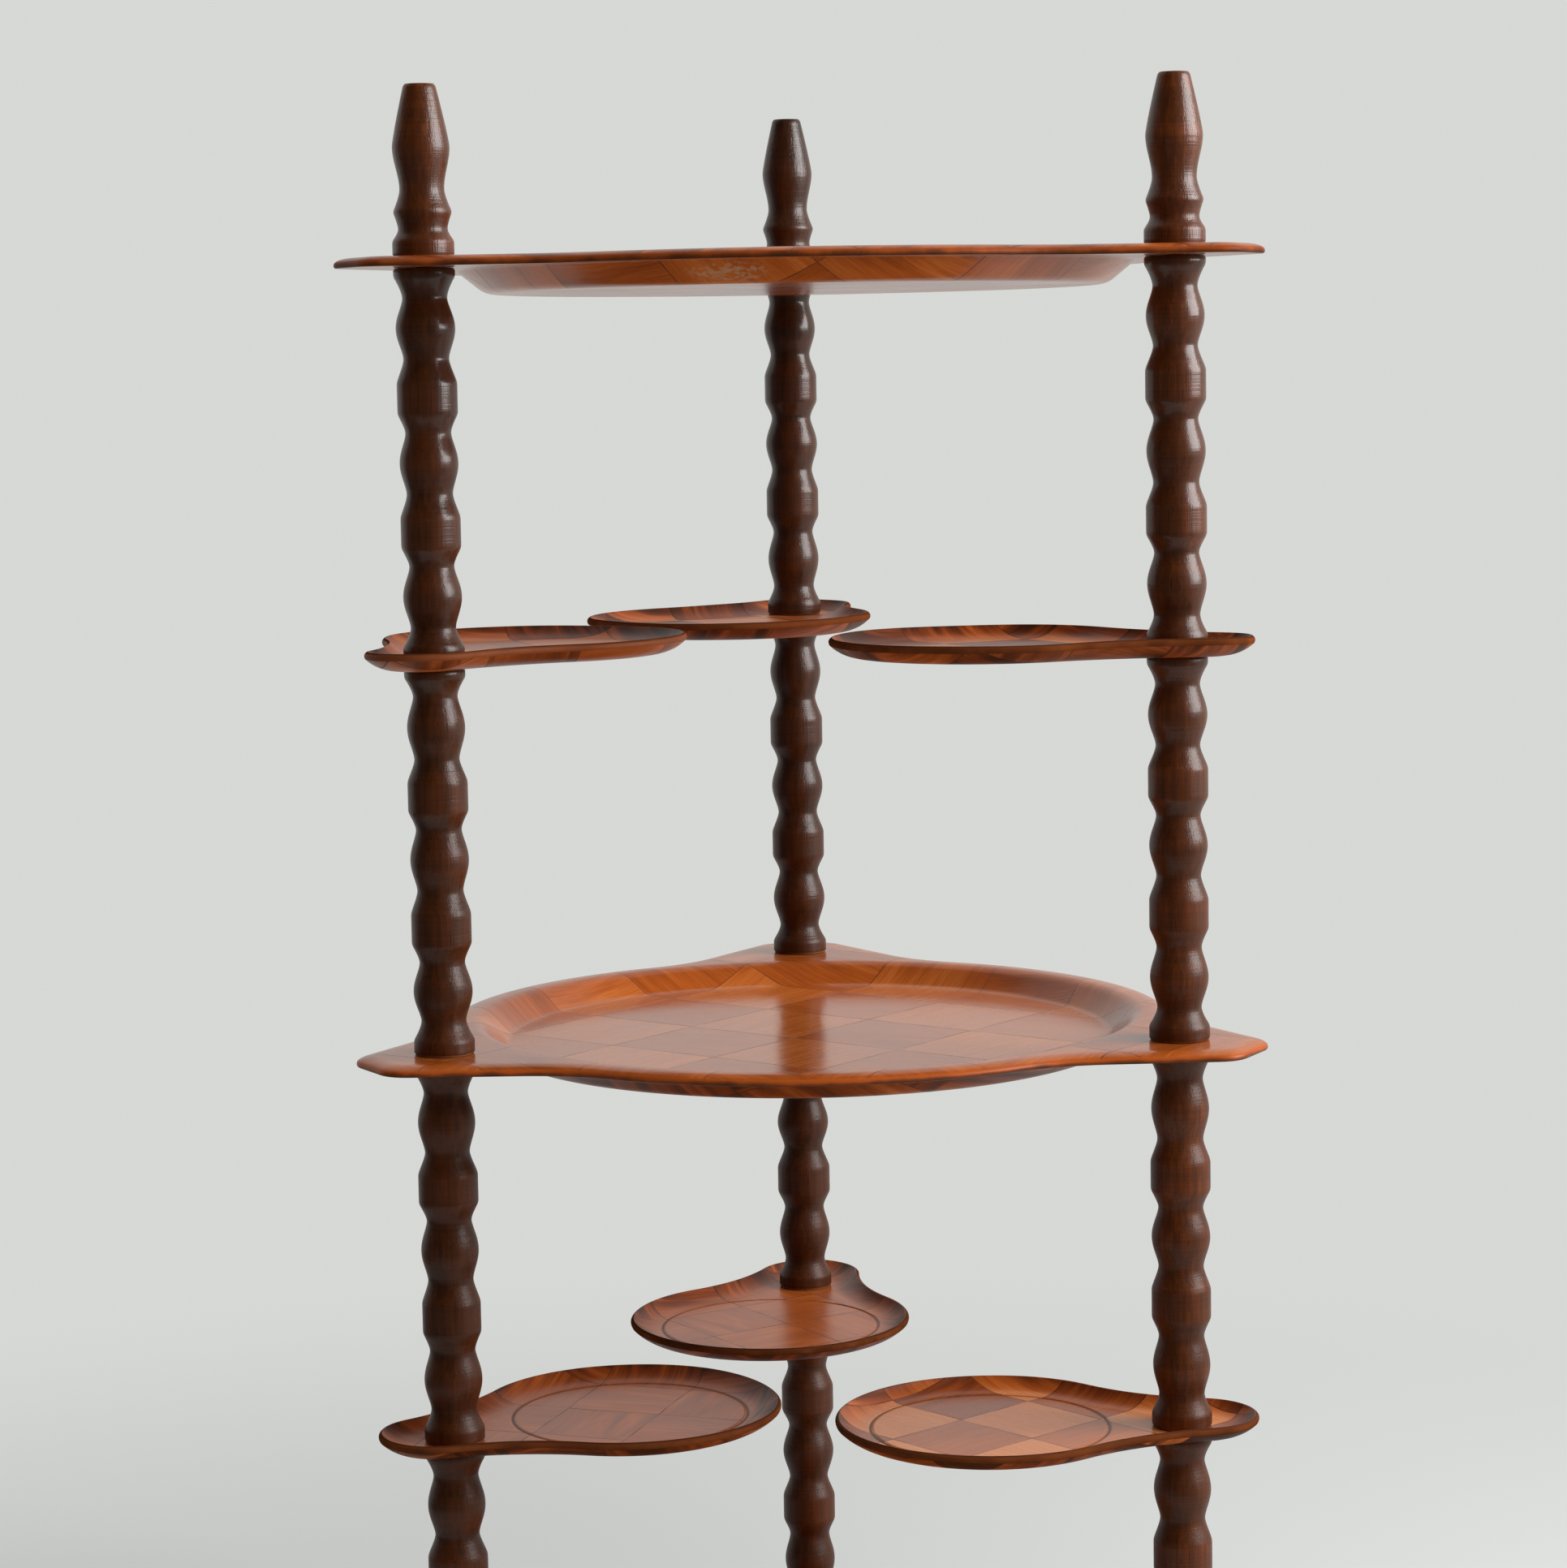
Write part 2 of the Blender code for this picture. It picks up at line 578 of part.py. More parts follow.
def build_trays():
    """Three fixed trays and two tiers of three swinging trays."""
    fixed = fixed_tray_mesh()
    for level in FIXED_LEVELS:
        place("tray_" + level, fixed, VENEER, (0.0, CENTRE_Y, TOP_FACE[level]))
    swing = swing_tray_mesh()
    for (level, post), degrees in SWING_REST.items():
        x, y = post_place(post)
        name = "swing_tray_%s_%s" % (level, post)
        place(name, swing, VENEER, (x, y, TOP_FACE[level]), math.radians(degrees))


build_posts()
build_trays()
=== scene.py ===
"""Looks of a three-post plant stand: turned dark posts, pressed veneer trays and small trays that swing.

Metres, +Z up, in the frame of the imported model. -Y is the open front that the camera looks at.
"""
from collections import namedtuple
import json
import math

import bpy
import numpy as np
from mathutils import Matrix, Vector


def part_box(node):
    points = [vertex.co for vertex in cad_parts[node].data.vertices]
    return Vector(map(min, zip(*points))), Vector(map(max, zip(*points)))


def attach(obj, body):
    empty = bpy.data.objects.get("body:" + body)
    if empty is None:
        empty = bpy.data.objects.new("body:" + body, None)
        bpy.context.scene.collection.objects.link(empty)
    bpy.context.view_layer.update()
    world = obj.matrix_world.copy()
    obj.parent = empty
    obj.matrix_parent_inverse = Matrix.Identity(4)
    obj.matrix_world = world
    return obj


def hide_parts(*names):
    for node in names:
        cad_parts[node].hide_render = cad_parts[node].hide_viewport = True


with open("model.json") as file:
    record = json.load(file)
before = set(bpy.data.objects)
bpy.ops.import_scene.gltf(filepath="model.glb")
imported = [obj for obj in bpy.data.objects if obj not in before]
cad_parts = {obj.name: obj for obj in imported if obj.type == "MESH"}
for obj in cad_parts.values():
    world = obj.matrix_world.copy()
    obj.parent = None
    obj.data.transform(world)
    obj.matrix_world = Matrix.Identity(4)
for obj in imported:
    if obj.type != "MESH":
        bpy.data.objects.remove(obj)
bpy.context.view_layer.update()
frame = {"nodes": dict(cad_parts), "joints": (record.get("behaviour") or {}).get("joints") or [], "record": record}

# Turned spindle, bottom to top
BASE_RADIUS = 0.0165
BASE_BAND = 0.0075
BASE_HEIGHT = 0.0176
NECK_RADIUS = 0.0122
ROUND_BEAD_RADIUS = 0.0159
DRUM_RADIUS = 0.0163
DRUM_LOWER_SHOULDER = 0.0100
DRUM_FLAT = 0.0162
DRUM_UPPER_SHOULDER = 0.0124
SWELL_POWER = 1.5             # more than 1 leaves a wider hollow at each neck
BEAD_ORDER = ("round", "drum", "round", "drum", "round")
COVE_HEIGHT = 0.0107
COLLAR_BAND = 0.0045

# Turned finial
FINIAL_BAND = 0.0082
FINIAL_COVE = 0.0062
FINIAL_COVE_RADIUS = 0.0131
FINIAL_RING_RADIUS = 0.0158
FINIAL_RING_LOWER = 0.0090
FINIAL_RING_UPPER = 0.0115
FINIAL_FLARE_POWER = 1.35     # more than 1 hollows both sides of the ring
FINIAL_NECK_RADIUS = 0.0119
FINIAL_BULB_RADIUS = 0.0155
FINIAL_BULB_RISE = 0.0230
FINIAL_BULB_POWER = 2.0       # more than 1 hollows the bulb's foot
FINIAL_TOP_RADIUS = 0.0084
FINIAL_TAPER_POWER = 1.15     # 1 is a straight cone above the bulb

# Turned foot
FOOT_BAND = 0.0050
FOOT_COVE = 0.0100
FOOT_BALL_RADIUS = 0.0185
FOOT_BALL_HEIGHT = 0.0300
FOOT_BALL_POWER = 0.8
FOOT_PAD_RADIUS = 0.0105
FOOT_TAPER_POWER = 1.6

# How one turned piece differs from the next
TURNING_DRIFT = 0.0007        # along the post, at each neck
TURNING_DEPTH = 0.0003        # across the post, at each bead and neck
EDGE_BREAK = 0.0007           # sanded edge at both ends
BORE_RADIUS = 0.0043
BORE_DEPTH = 0.0183

# Fixed tray
FIXED_SHEET = 0.0056
POST_OUTSET = 0.025
EAR_OVERHANG = 0.045
EAR_TIP_WIDTH = 0.046
EAR_SPLAY = math.radians(31.5)
EAR_CORNER_RADIUS = 0.019
EAR_FILLET_RADIUS = 0.090
RIM_WIDTH = 0.018
DISH_DEPTH = 0.0125
DISH_WALL_RUN = 0.0155
DISH_LIP_ROUND = 0.0140
DISH_ROOT_ROUND = 0.0016
DISH_FLOOR_ROUND = 0.0080
EDGE_ROLL_WIDTH = 0.0105      # how far in from the edge the top rolls off
EDGE_ROLL_DROP = 0.0037
EDGE_ROUND_UNDER = 0.0014

# Swinging tray
SWING_SHEET = 0.0040
PEAR_SEAT_MARGIN = 0.0009
PEAR_TIP_OFFSET = 0.010
PEAR_BOWL_RADIUS = 0.0835
PEAR_FLANK_RADIUS = 0.140
LIP_BEND_RADIUS = 0.0195
LIP_ANGLE = math.radians(52.0)
LIP_ROUND_OUTER = 0.0025
LIP_ROUND_INNER = 0.0008
LIP_WAVER = 0.06              # share of the bend that the lip's height wanders by
LIP_WAVES = (2, 3, 5, 8)      # waves of that wander round the outline
OUTLINE_NUDGE = 1.0e-4        # small growth that gives an outline's normals
GROOVE_MARGIN = 0.0008
GROOVE_WIDTH = 0.0026
GROOVE_DEPTH = 0.0006

# Veneer squares
FIXED_SQUARE = 0.073
SWING_SQUARE = 0.054

# Off the flat floor the squares fade and darken, most of all inside the lip of a swinging tray
WALL_FADE = 0.50
WALL_SHADE = 0.12
WALL_STRETCH = 0.003          # length of sheet beyond its plan at which the fade is whole
LIP_FADE = 0.75               # inside the lip
LIP_FADE_OUTSIDE = 0.50
LIP_SHADE = 0.46

# Worn patch on the outside of the top tray's front wall
WORN_PLACE = -0.038           # across
WORN_REACH = (0.027, 0.030, 0.0065)   # half sizes across, in depth and in height
WORN_SCALE = (320.0, 320.0, 520.0)
WORN_COLOUR = (0.420, 0.270, 0.170, 1.0)

# Facets
TURNED_SEGMENTS = 40
PROFILE_STEP = 0.0013
PROFILE_SOFTENING = 0.0011
SOFTENING_SAMPLES = 7
TIP_STEPS = 6
CORNER_STEPS = 8
FLANK_STEPS = 6
FILLET_STEPS = 14
RIM_STEPS = 24
ROUND_STEPS = 6
SPREAD_STEPS = 4
FLAT_GUARD = 0.02             # share of a flat span that lies next to its curved neighbour
BOWL_STEPS = 96
PEAR_FLANK_STEPS = 22
PEAR_TIP_STEPS = 44
BEND_STEPS = 9
SMOOTH_ANGLE = math.radians(40.0)
FLOOR_SEGMENTS = 96

# Seeds of the small differences between like pieces
POST_SEED = 100
SWING_SEED = 200

# Camera, fitted to the photograph
PHOTO_WIDTH = 1931            # pixels
FOCAL_LENGTH = 4782.3         # pixels
SENSOR_WIDTH = 36.0           # millimetres
CAMERA_PLACE = Vector((-0.0423, -2.2345, 0.8668))
CAMERA_YAW = math.radians(-0.793)
CAMERA_PITCH = math.radians(-6.111)
CAMERA_ROLL = math.radians(0.982)
CAMERA_CLIP_END = 60.0

# Stage
SURROUNDINGS = (0.680, 0.690, 0.668, 1.0)
AMBIENT_COLOUR = (1.0, 1.0, 0.99, 1.0)
AMBIENT_STRENGTH = 0.68
MATT_ROUGHNESS = 0.9          # of the floor and the room
ROOM_REACH = 3.5              # from the stand to the dark sides of the room
ROOM_BEHIND = 0.8             # how far the dark side at the left reaches behind the stand
ROOM_START = 0.85             # from the stand to where the dark floor at the front and the left starts
ROOM_SCALE = (2.0, 2.0, 2.0)
ROOM_TONES = (
    (0.2, (0.062, 0.055, 0.049)),
    (0.8, (0.078, 0.069, 0.062)),
)
FLOOR_RADIUS = 30.0
FLOOR_DROP = 0.0004           # below the feet
FLOOR_MELT_START = 0.35
FLOOR_MELT_END = 1.5
FLOOR_SCALE = (1.3, 1.3, 1.3)
FLOOR_TONES = (
    (0.2, (0.535, 0.548, 0.543)),
    (0.8, (0.565, 0.578, 0.573)),
)
Lamp = namedtuple("Lamp", "place target size power mirrored")
LAMPS = {
    "window": Lamp((2.05, -0.55, 1.50), (0.0, 0.0, 0.60), (1.6, 1.4), 78.0, True),
    "fill": Lamp((0.9, -3.2, 2.0), (0.0, 0.0, 0.60), (2.0, 2.0), 26.0, False),
    "ceiling": Lamp((0.0, -0.4, 3.3), (0.0, 0.0, 0.0), (2.4, 2.4), 24.0, False),
}

# Veneer of each tray: turn of the squares in plan, a corner of the grid from the tray's own middle or
# pivot, how far the light and dark squares differ, and how dark the top, the edge and the under side are;
# the under side's darkness is painted shade beneath the tray
Veneer = namedtuple("Veneer", "turn corner contrast top edge under")
FIXED_GRID = {
    "bottom": Veneer(-38.0, (0.0600, 0.0200), 0.35, 0.00, 0.10, 0.50),
    "middle": Veneer(-38.0, (0.0933, -0.0033), 0.27, -0.12, 0.10, 0.46),
    "top": Veneer(-38.0, (0.0400, -0.0300), 0.24, 0.10, 0.50, 0.05),
}
SWING_GRID = {
    ("lower", "left"): Veneer(45.0, (0.0807, 0.0293), 0.08, 0.05, 0.66, 0.55),
    ("lower", "right"): Veneer(45.0, (0.1213, -0.0135), 0.85, -0.10, 0.62, 0.66),
    ("lower", "back"): Veneer(45.0, (0.1000, 0.0100), 0.08, 0.02, 0.75, 0.55),
    ("upper", "left"): Veneer(45.0, (0.1100, 0.0000), 0.70, 0.08, 0.36, 0.24),
    ("upper", "right"): Veneer(45.0, (0.0950, 0.0120), 0.95, 0.10, 0.66, 0.62),
    ("upper", "back"): Veneer(45.0, (0.1050, -0.0100), 0.90, 0.14, 0.62, 0.56),
}

POSTS = ("left", "right", "back")

# Warmth of the stain of each turned piece, the spindles from the lowest storey to the highest
FOOT_WARMTH = {"left": 0.55, "right": 0.90, "back": 0.28}
SPINDLE_WARMTH = {
    "left": (0.55, 0.54, 0.50, 0.48),
    "right": (0.92, 0.88, 0.74, 0.70),
    "back": (0.34, 0.32, 0.26, 0.22),
}
FINIAL_WARMTH = {"left": 1.00, "right": 1.06, "back": 0.00}

# Finish of the turned wood: noise scales along each axis, tones from dark to light, and the coat.
# Two heights, and the values at them, give the coat's weight and its relief
STREAK_SCALE = (380.0, 380.0, 20.0)
MOTTLE_SCALE = (26.0, 26.0, 14.0)
TURNED_PORE_SCALE = (1500.0, 1500.0, 70.0)
LATHE_SCALE = (2.0, 2.0, 1100.0)
BAND_SCALE = (5.0, 5.0, 130.0)
TURNED_TONES = (
    (0.00, (0.013, 0.0040, 0.0011)),
    (0.30, (0.037, 0.0094, 0.0016)),
    (0.58, (0.074, 0.0166, 0.0022)),
    (1.00, (0.200, 0.0420, 0.0045)),
)
TURNED_PORE_COLOUR = (0.007, 0.003, 0.002, 1.0)
HEEL_COLOUR = (0.300, 0.130, 0.055, 1.0)     # rubbed edge at the foot of a spindle or finial
TURNED_SPECULAR = 0.16
TURNED_RELIEF = (0.45, 0.00022)              # strength and distance
COAT_WEIGHT = (0.32, 0.98, 0.20, 0.62)
COAT_RELIEF = (0.55, 0.90, 0.85, 0.32)
COAT_RELIEF_ON_FINIAL = 0.53                 # added there
COAT_RELIEF_DISTANCE = 0.00032

# Finish of the veneer, with noise scales along the grain, across it and through the sheet
WANDER_SCALE = 28.0
WANDER_REACH = (0.0022, 0.0022, 0.0)
FIGURE_SCALE = (9.0, 55.0, 1.0)
LINE_SCALE = (30.0, 650.0, 1.0)
VENEER_PORE_SCALE = (90.0, 2600.0, 1.0)
CLOUD_SCALE = (14.0, 14.0, 1.0)
CHIP_SCALE = (60.0, 60.0, 1.0)
JOINT_SCALE = (35.0, 35.0, 1.0)
RIPPLE_SCALE = (45.0, 45.0, 1.0)
VENEER_TONES = (
    (0.00, (0.050, 0.012, 0.003)),
    (0.25, (0.180, 0.034, 0.005)),
    (0.50, (0.372, 0.082, 0.012)),
    (0.75, (0.550, 0.160, 0.033)),
    (1.00, (0.660, 0.262, 0.088)),
)
VENEER_PORE_COLOUR = (0.090, 0.016, 0.004, 1.0)
JOINT_WIDTH = (0.00010, 0.00055)             # whole within the first, gone beyond the second
JOINT_COLOUR = (0.030, 0.009, 0.004, 1.0)
# painted shade in the turned groove of a swinging tray's floor
GROOVE_SHADE_COLOUR = (0.135, 0.047, 0.019, 1.0)
EDGE_STAIN_COLOUR = (0.045, 0.013, 0.005, 1.0)
VENEER_RELIEF = (0.30, 0.0003)               # strength and distance

# Cut edges, from the top of the sheet to its under side
FIXED_EDGE_TONES = (
    (0.00, (0.400, 0.082, 0.010)),
    (0.56, (0.370, 0.070, 0.009)),
    (0.70, (0.210, 0.044, 0.008)),
    (0.86, (0.120, 0.030, 0.009)),
    (1.00, (0.060, 0.019, 0.007)),
)
SWING_EDGE_TONES = (
    (0.00, (0.105, 0.032, 0.014)),
    (0.20, (0.080, 0.024, 0.011)),
    (0.42, (0.205, 0.054, 0.016)),
    (1.00, (0.230, 0.056, 0.014)),
)

# Finish of the studs
DRAWN_SCALE = (900.0, 900.0, 30.0)
TARNISH_SCALE = (160.0, 160.0, 160.0)
STEEL_TONES = (
    (0.20, (0.330, 0.325, 0.320)),
    (0.80, (0.590, 0.590, 0.600)),
)
THREAD_PITCH = 0.00125
THREAD_RELIEF = (0.6, 0.0004)                # strength and distance

# Sizes and places that follow from the frame and from the sizes above
POST_AXIS = {post: sum(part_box("foot_" + post), Vector()).xy / 2.0 for post in POSTS}
STAND_AXIS = sum(POST_AXIS.values(), Vector((0.0, 0.0))) / len(POSTS)
POST_CIRCLE = (POST_AXIS["back"] - STAND_AXIS).length
FIXED_RADIUS = POST_CIRCLE - POST_OUTSET
DISH_MOUTH_RADIUS = FIXED_RADIUS - RIM_WIDTH
EAR_REACH = POST_CIRCLE + EAR_OVERHANG
LIP_RUN = LIP_BEND_RADIUS * math.sin(LIP_ANGLE)
PEAR_SEAT_RADIUS = BASE_RADIUS + PEAR_SEAT_MARGIN + LIP_RUN
GROOVE_OUTER_RADIUS = PEAR_BOWL_RADIUS - LIP_RUN - GROOVE_MARGIN
PIVOT = {joint["child"]: Vector(joint["pos_m"]) for joint in frame["joints"]}
MOUNT = {mount["name"]: Vector(mount["pos_m"]) for mount in frame["record"]["mounts"]}
PEAR_BOWL_OFFSET = (MOUNT["swing_tray_lower_left_floor"] - PIVOT["swing_tray_lower_left"]).xy.length
FLANK_TO_SEAT = PEAR_FLANK_RADIUS + PEAR_SEAT_RADIUS
FLANK_TO_BOWL = PEAR_FLANK_RADIUS + PEAR_BOWL_RADIUS
FLANK_X = (PEAR_BOWL_OFFSET ** 2 + FLANK_TO_SEAT ** 2 - FLANK_TO_BOWL ** 2) / (2.0 * PEAR_BOWL_OFFSET)
FLANK_Y = math.sqrt(FLANK_TO_SEAT ** 2 - FLANK_X ** 2)
PEAR_TIP_RADIUS = math.hypot(FLANK_X + PEAR_TIP_OFFSET, FLANK_Y) - PEAR_FLANK_RADIUS
TOP_TRAY_LOW, TOP_TRAY_HIGH = (corner.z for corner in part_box("tray_top"))
FINIAL_START = TOP_TRAY_HIGH - EDGE_BREAK
WORN_WALL_RADIUS = DISH_MOUTH_RADIUS - DISH_WALL_RUN / 2.0
WORN_DEPTH = STAND_AXIS.y - math.sqrt(WORN_WALL_RADIUS ** 2 - WORN_PLACE ** 2)
WORN_PATCH = (WORN_PLACE, WORN_DEPTH, TOP_TRAY_LOW + DISH_DEPTH / 2.0)


def mix(low, high, share):
    return low + (high - low) * share


def on_circle(radius, angles):
    """Points of a circle about the origin, in plan."""
    return np.column_stack((radius * np.cos(angles), radius * np.sin(angles)))


def loft(name, rings):
    """Closed mesh through rings of points, each a dict of point values. A ring of one point is a pole.

    The rings run so that the outside is on the right of their path, and each ring runs anticlockwise.
    """
    counts = [len(ring["place"]) for ring in rings]
    starts = np.concatenate(([0], np.cumsum(counts)[:-1]))
    faces = []
    for first, second, a, b in zip(counts, counts[1:], starts, starts[1:]):
        for i in range(max(first, second)):
            j = (i + 1) % max(first, second)
            if first == 1:
                faces.append((a, b + j, b + i))
            elif second == 1:
                faces.append((a + i, a + j, b))
            else:
                faces.append((a + i, a + j, b + j, b + i))
    mesh = bpy.data.meshes.new(name)
    mesh.from_pydata(np.concatenate([ring["place"] for ring in rings]).tolist(), [], faces)
    for key in rings[0]:
        if key == "place":
            continue
        values = np.concatenate([np.broadcast_to(ring[key], (n,) + np.shape(ring[key])[1:])
                                 if np.ndim(ring[key]) else np.full(n, ring[key])
                                 for ring, n in zip(rings, counts)])
        kind = "FLOAT" if values.ndim == 1 else "FLOAT_VECTOR"
        layer = mesh.attributes.new(key, kind, "POINT")
        field = "value" if kind == "FLOAT" else "vector"
        layer.data.foreach_set(field, values.astype(np.float32).ravel())
    mesh.shade_smooth()
    mesh.set_sharp_from_angle(angle=SMOOTH_ANGLE)
    return mesh


def dress(name, mesh, material, node, body):
    """One piece of the stand that stands for a node of the frame."""
    mesh.materials.append(material)
    piece = bpy.data.objects.new(name, mesh)
    bpy.context.scene.collection.objects.link(piece)
    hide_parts(node)
    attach(piece, body)


def spindle_radius(length, draw):
    """Function from heights to radii for one spindle, with its own small turning differences."""
    drum_height = DRUM_LOWER_SHOULDER + DRUM_FLAT + DRUM_UPPER_SHOULDER
    drums = BEAD_ORDER.count("drum")
    beads_height = length - BASE_HEIGHT - COVE_HEIGHT - COLLAR_BAND
    round_height = (beads_height - drums * drum_height) / (len(BEAD_ORDER) - drums)
    heights = [drum_height if bead == "drum" else round_height for bead in BEAD_ORDER]
    necks = BASE_HEIGHT + np.concatenate(([0.0], np.cumsum(heights)))
    necks = necks + draw.uniform(-TURNING_DRIFT, TURNING_DRIFT, necks.size)
    neck_radii = NECK_RADIUS + draw.uniform(-TURNING_DEPTH, TURNING_DEPTH, necks.size)
    crowns = np.array([DRUM_RADIUS if bead == "drum" else ROUND_BEAD_RADIUS for bead in BEAD_ORDER])
    crowns = crowns + draw.uniform(-TURNING_DEPTH, TURNING_DEPTH / 2.0, crowns.size)
    lower_share = DRUM_LOWER_SHOULDER / drum_height
    upper_share = 1.0 - DRUM_UPPER_SHOULDER / drum_height
    lower_corner = math.sin(math.pi * lower_share)
    upper_corner = math.sin(math.pi * upper_share)
    band_end = length - COLLAR_BAND

    def radius_at(height):
        radius = np.full(height.shape, BASE_RADIUS)
        cove = (height > BASE_BAND) & (height < necks[0])
        rise = (necks[0] - height[cove]) / (necks[0] - BASE_BAND)
        radius[cove] = mix(neck_radii[0], BASE_RADIUS, rise ** SWELL_POWER)
        for number, bead in enumerate(BEAD_ORDER):
            on_bead = (height >= necks[number]) & (height < necks[number + 1])
            share = (height[on_bead] - necks[number]) / (necks[number + 1] - necks[number])
            swell = np.sin(np.pi * share)
            if bead == "drum":
                swell = np.minimum(1.0, swell / np.where(share < 0.5, lower_corner, upper_corner))
            neck = mix(neck_radii[number], neck_radii[number + 1], share)
            radius[on_bead] = mix(neck, crowns[number], swell ** SWELL_POWER)
        cove = (height >= necks[-1]) & (height < band_end)
        rise = (height[cove] - necks[-1]) / (band_end - necks[-1])
        radius[cove] = mix(neck_radii[-1], BASE_RADIUS, rise ** SWELL_POWER)
        return radius

    return radius_at


def finial_radius(length, draw):
    """Function from heights to radii for one finial: band, cove, ring, bulb and long taper."""
    hollow = FINIAL_BAND + FINIAL_COVE
    crest = hollow + FINIAL_RING_LOWER
    neck = crest + FINIAL_RING_UPPER
    crown = neck + FINIAL_BULB_RISE
    ring_radius = FINIAL_RING_RADIUS + draw.uniform(-TURNING_DEPTH, 0.0)
    bulb_radius = FINIAL_BULB_RADIUS + draw.uniform(-TURNING_DEPTH, 0.0)

    def radius_at(height):
        cove = np.clip((hollow - height) / FINIAL_COVE, 0.0, 1.0)
        lower = np.clip((height - hollow) / FINIAL_RING_LOWER, 0.0, 1.0)
        upper = np.clip((neck - height) / FINIAL_RING_UPPER, 0.0, 1.0)
        bulb = np.clip((height - neck) / FINIAL_BULB_RISE, 0.0, 1.0)
        taper = np.clip((height - crown) / (length - crown), 0.0, 1.0)
        return np.select(
            [height < hollow, height < crest, height < neck, height < crown],
            [mix(FINIAL_COVE_RADIUS, BASE_RADIUS, cove ** SWELL_POWER),
             mix(FINIAL_COVE_RADIUS, ring_radius, lower ** FINIAL_FLARE_POWER),
             mix(FINIAL_NECK_RADIUS, ring_radius, upper ** FINIAL_FLARE_POWER),
             mix(FINIAL_NECK_RADIUS, bulb_radius, np.sin(np.pi / 2.0 * bulb) ** FINIAL_BULB_POWER)],
            mix(bulb_radius, FINIAL_TOP_RADIUS, taper ** FINIAL_TAPER_POWER))

    return radius_at


def foot_radius(length, draw):
    """Function from heights to radii for one foot: pad, taper, ball, cove and band."""
    ball_top = length - FOOT_BAND - FOOT_COVE
    ball_foot = ball_top - FOOT_BALL_HEIGHT
    ball_radius = FOOT_BALL_RADIUS + draw.uniform(-TURNING_DEPTH, 0.0)

    def radius_at(height):
        taper = np.clip(height / ball_foot, 0.0, 1.0)
        ball = np.clip((height - ball_foot) / FOOT_BALL_HEIGHT, 0.0, 1.0)
        cove = np.clip((height - ball_top) / FOOT_COVE, 0.0, 1.0)
        return np.select(
            [height < ball_foot, height < ball_top],
            [mix(FOOT_PAD_RADIUS, NECK_RADIUS, taper ** FOOT_TAPER_POWER),
             mix(NECK_RADIUS, ball_radius, np.sin(np.pi * ball) ** FOOT_BALL_POWER)],
            mix(NECK_RADIUS, BASE_RADIUS, cove ** SWELL_POWER))

    return radius_at


def turned_profile(length, radius_at):
    """Heights and radii up a turned piece, with corners softened and both ends' edges broken."""
    height = np.linspace(0.0, length, round(length / PROFILE_STEP) + 1)
    offsets = np.linspace(-PROFILE_SOFTENING, PROFILE_SOFTENING, SOFTENING_SAMPLES)
    radius = np.mean([radius_at(np.clip(height + offset, 0.0, length)) for offset in offsets], axis=0)
    to_end = np.minimum(height, length - height)
    return height, radius - EDGE_BREAK * np.clip(1.0 - to_end / EDGE_BREAK, 0.0, 1.0)


def turned_mesh(node, radius_of, bottom_bore, top_bore, warmth, draw):
    """Fine turned surface of one post piece, with its stud bores."""
    low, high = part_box(node)
    axis = (low + high).xy / 2.0
    length = high.z - low.z
    height, radius = turned_profile(length, radius_of(length, draw))
    head = [(BORE_RADIUS, length), (BORE_RADIUS, length - BORE_DEPTH), (0.0, length - BORE_DEPTH)]
    tail = [(0.0, BORE_DEPTH), (BORE_RADIUS, BORE_DEPTH), (BORE_RADIUS, 0.0)]
    profile = tail if bottom_bore else [(0.0, 0.0)]
    profile = profile + list(zip(radius, height)) + (head if top_bore else [(0.0, length)])
    angles = np.linspace(0.0, 2.0 * np.pi, TURNED_SEGMENTS, endpoint=False)
    rings = []
    for r, z in profile:
        plan = on_circle(r, angles if r > 0.0 else angles[:1]) + axis
        rings.append({
            "place": np.column_stack((plan, np.full(len(plan), low.z + z))),
            # share from the neck radius to the full radius, which the wood uses to paint crowns lighter and necks
            # darker
            "crown": float(np.clip((r - NECK_RADIUS) / (BASE_RADIUS - NECK_RADIUS), 0.0, 1.0)),
            "warmth": warmth,
            "heel": 1.0 if bottom_bore and z < EDGE_BREAK and r > BORE_RADIUS else 0.0,
        })
    return loft(node + "_turned", rings)


def arc(centre, radius, start, end, steps):
    """Points of an arc, both ends included."""
    return on_circle(radius, np.linspace(start, end, steps + 1)) + np.array(centre)


def half_ear():
    """Half of an ear from the middle of its tip to the round rim: along the ear, and to its side."""
    corner = np.array((EAR_REACH, EAR_TIP_WIDTH / 2.0))
    along = np.array((-math.cos(EAR_SPLAY), math.sin(EAR_SPLAY)))
    outward = np.array((math.sin(EAR_SPLAY), math.cos(EAR_SPLAY)))
    turn = math.pi / 2.0 - EAR_SPLAY
    tip_centre = corner - EAR_CORNER_RADIUS * np.array((1.0, math.tan(turn / 2.0)))
    tip = arc(tip_centre, EAR_CORNER_RADIUS, 0.0, turn, CORNER_STEPS)
    base = corner + EAR_FILLET_RADIUS * outward
    reach = FIXED_RADIUS + EAR_FILLET_RADIUS
    half_b = base @ along
    centre = base + along * (-half_b - math.sqrt(half_b ** 2 - base @ base + reach ** 2))
    start = math.atan2(-outward[1], -outward[0])
    fillet = arc(centre, EAR_FILLET_RADIUS, start, math.atan2(-centre[1], -centre[0]), FILLET_STEPS)
    front = np.linspace((EAR_REACH, 0.0), tip[0], TIP_STEPS + 1)[:-1]
    flank = np.linspace(tip[-1], fillet[0], FLANK_STEPS + 1)[1:-1]
    return np.concatenate((front, tip, flank, fillet))


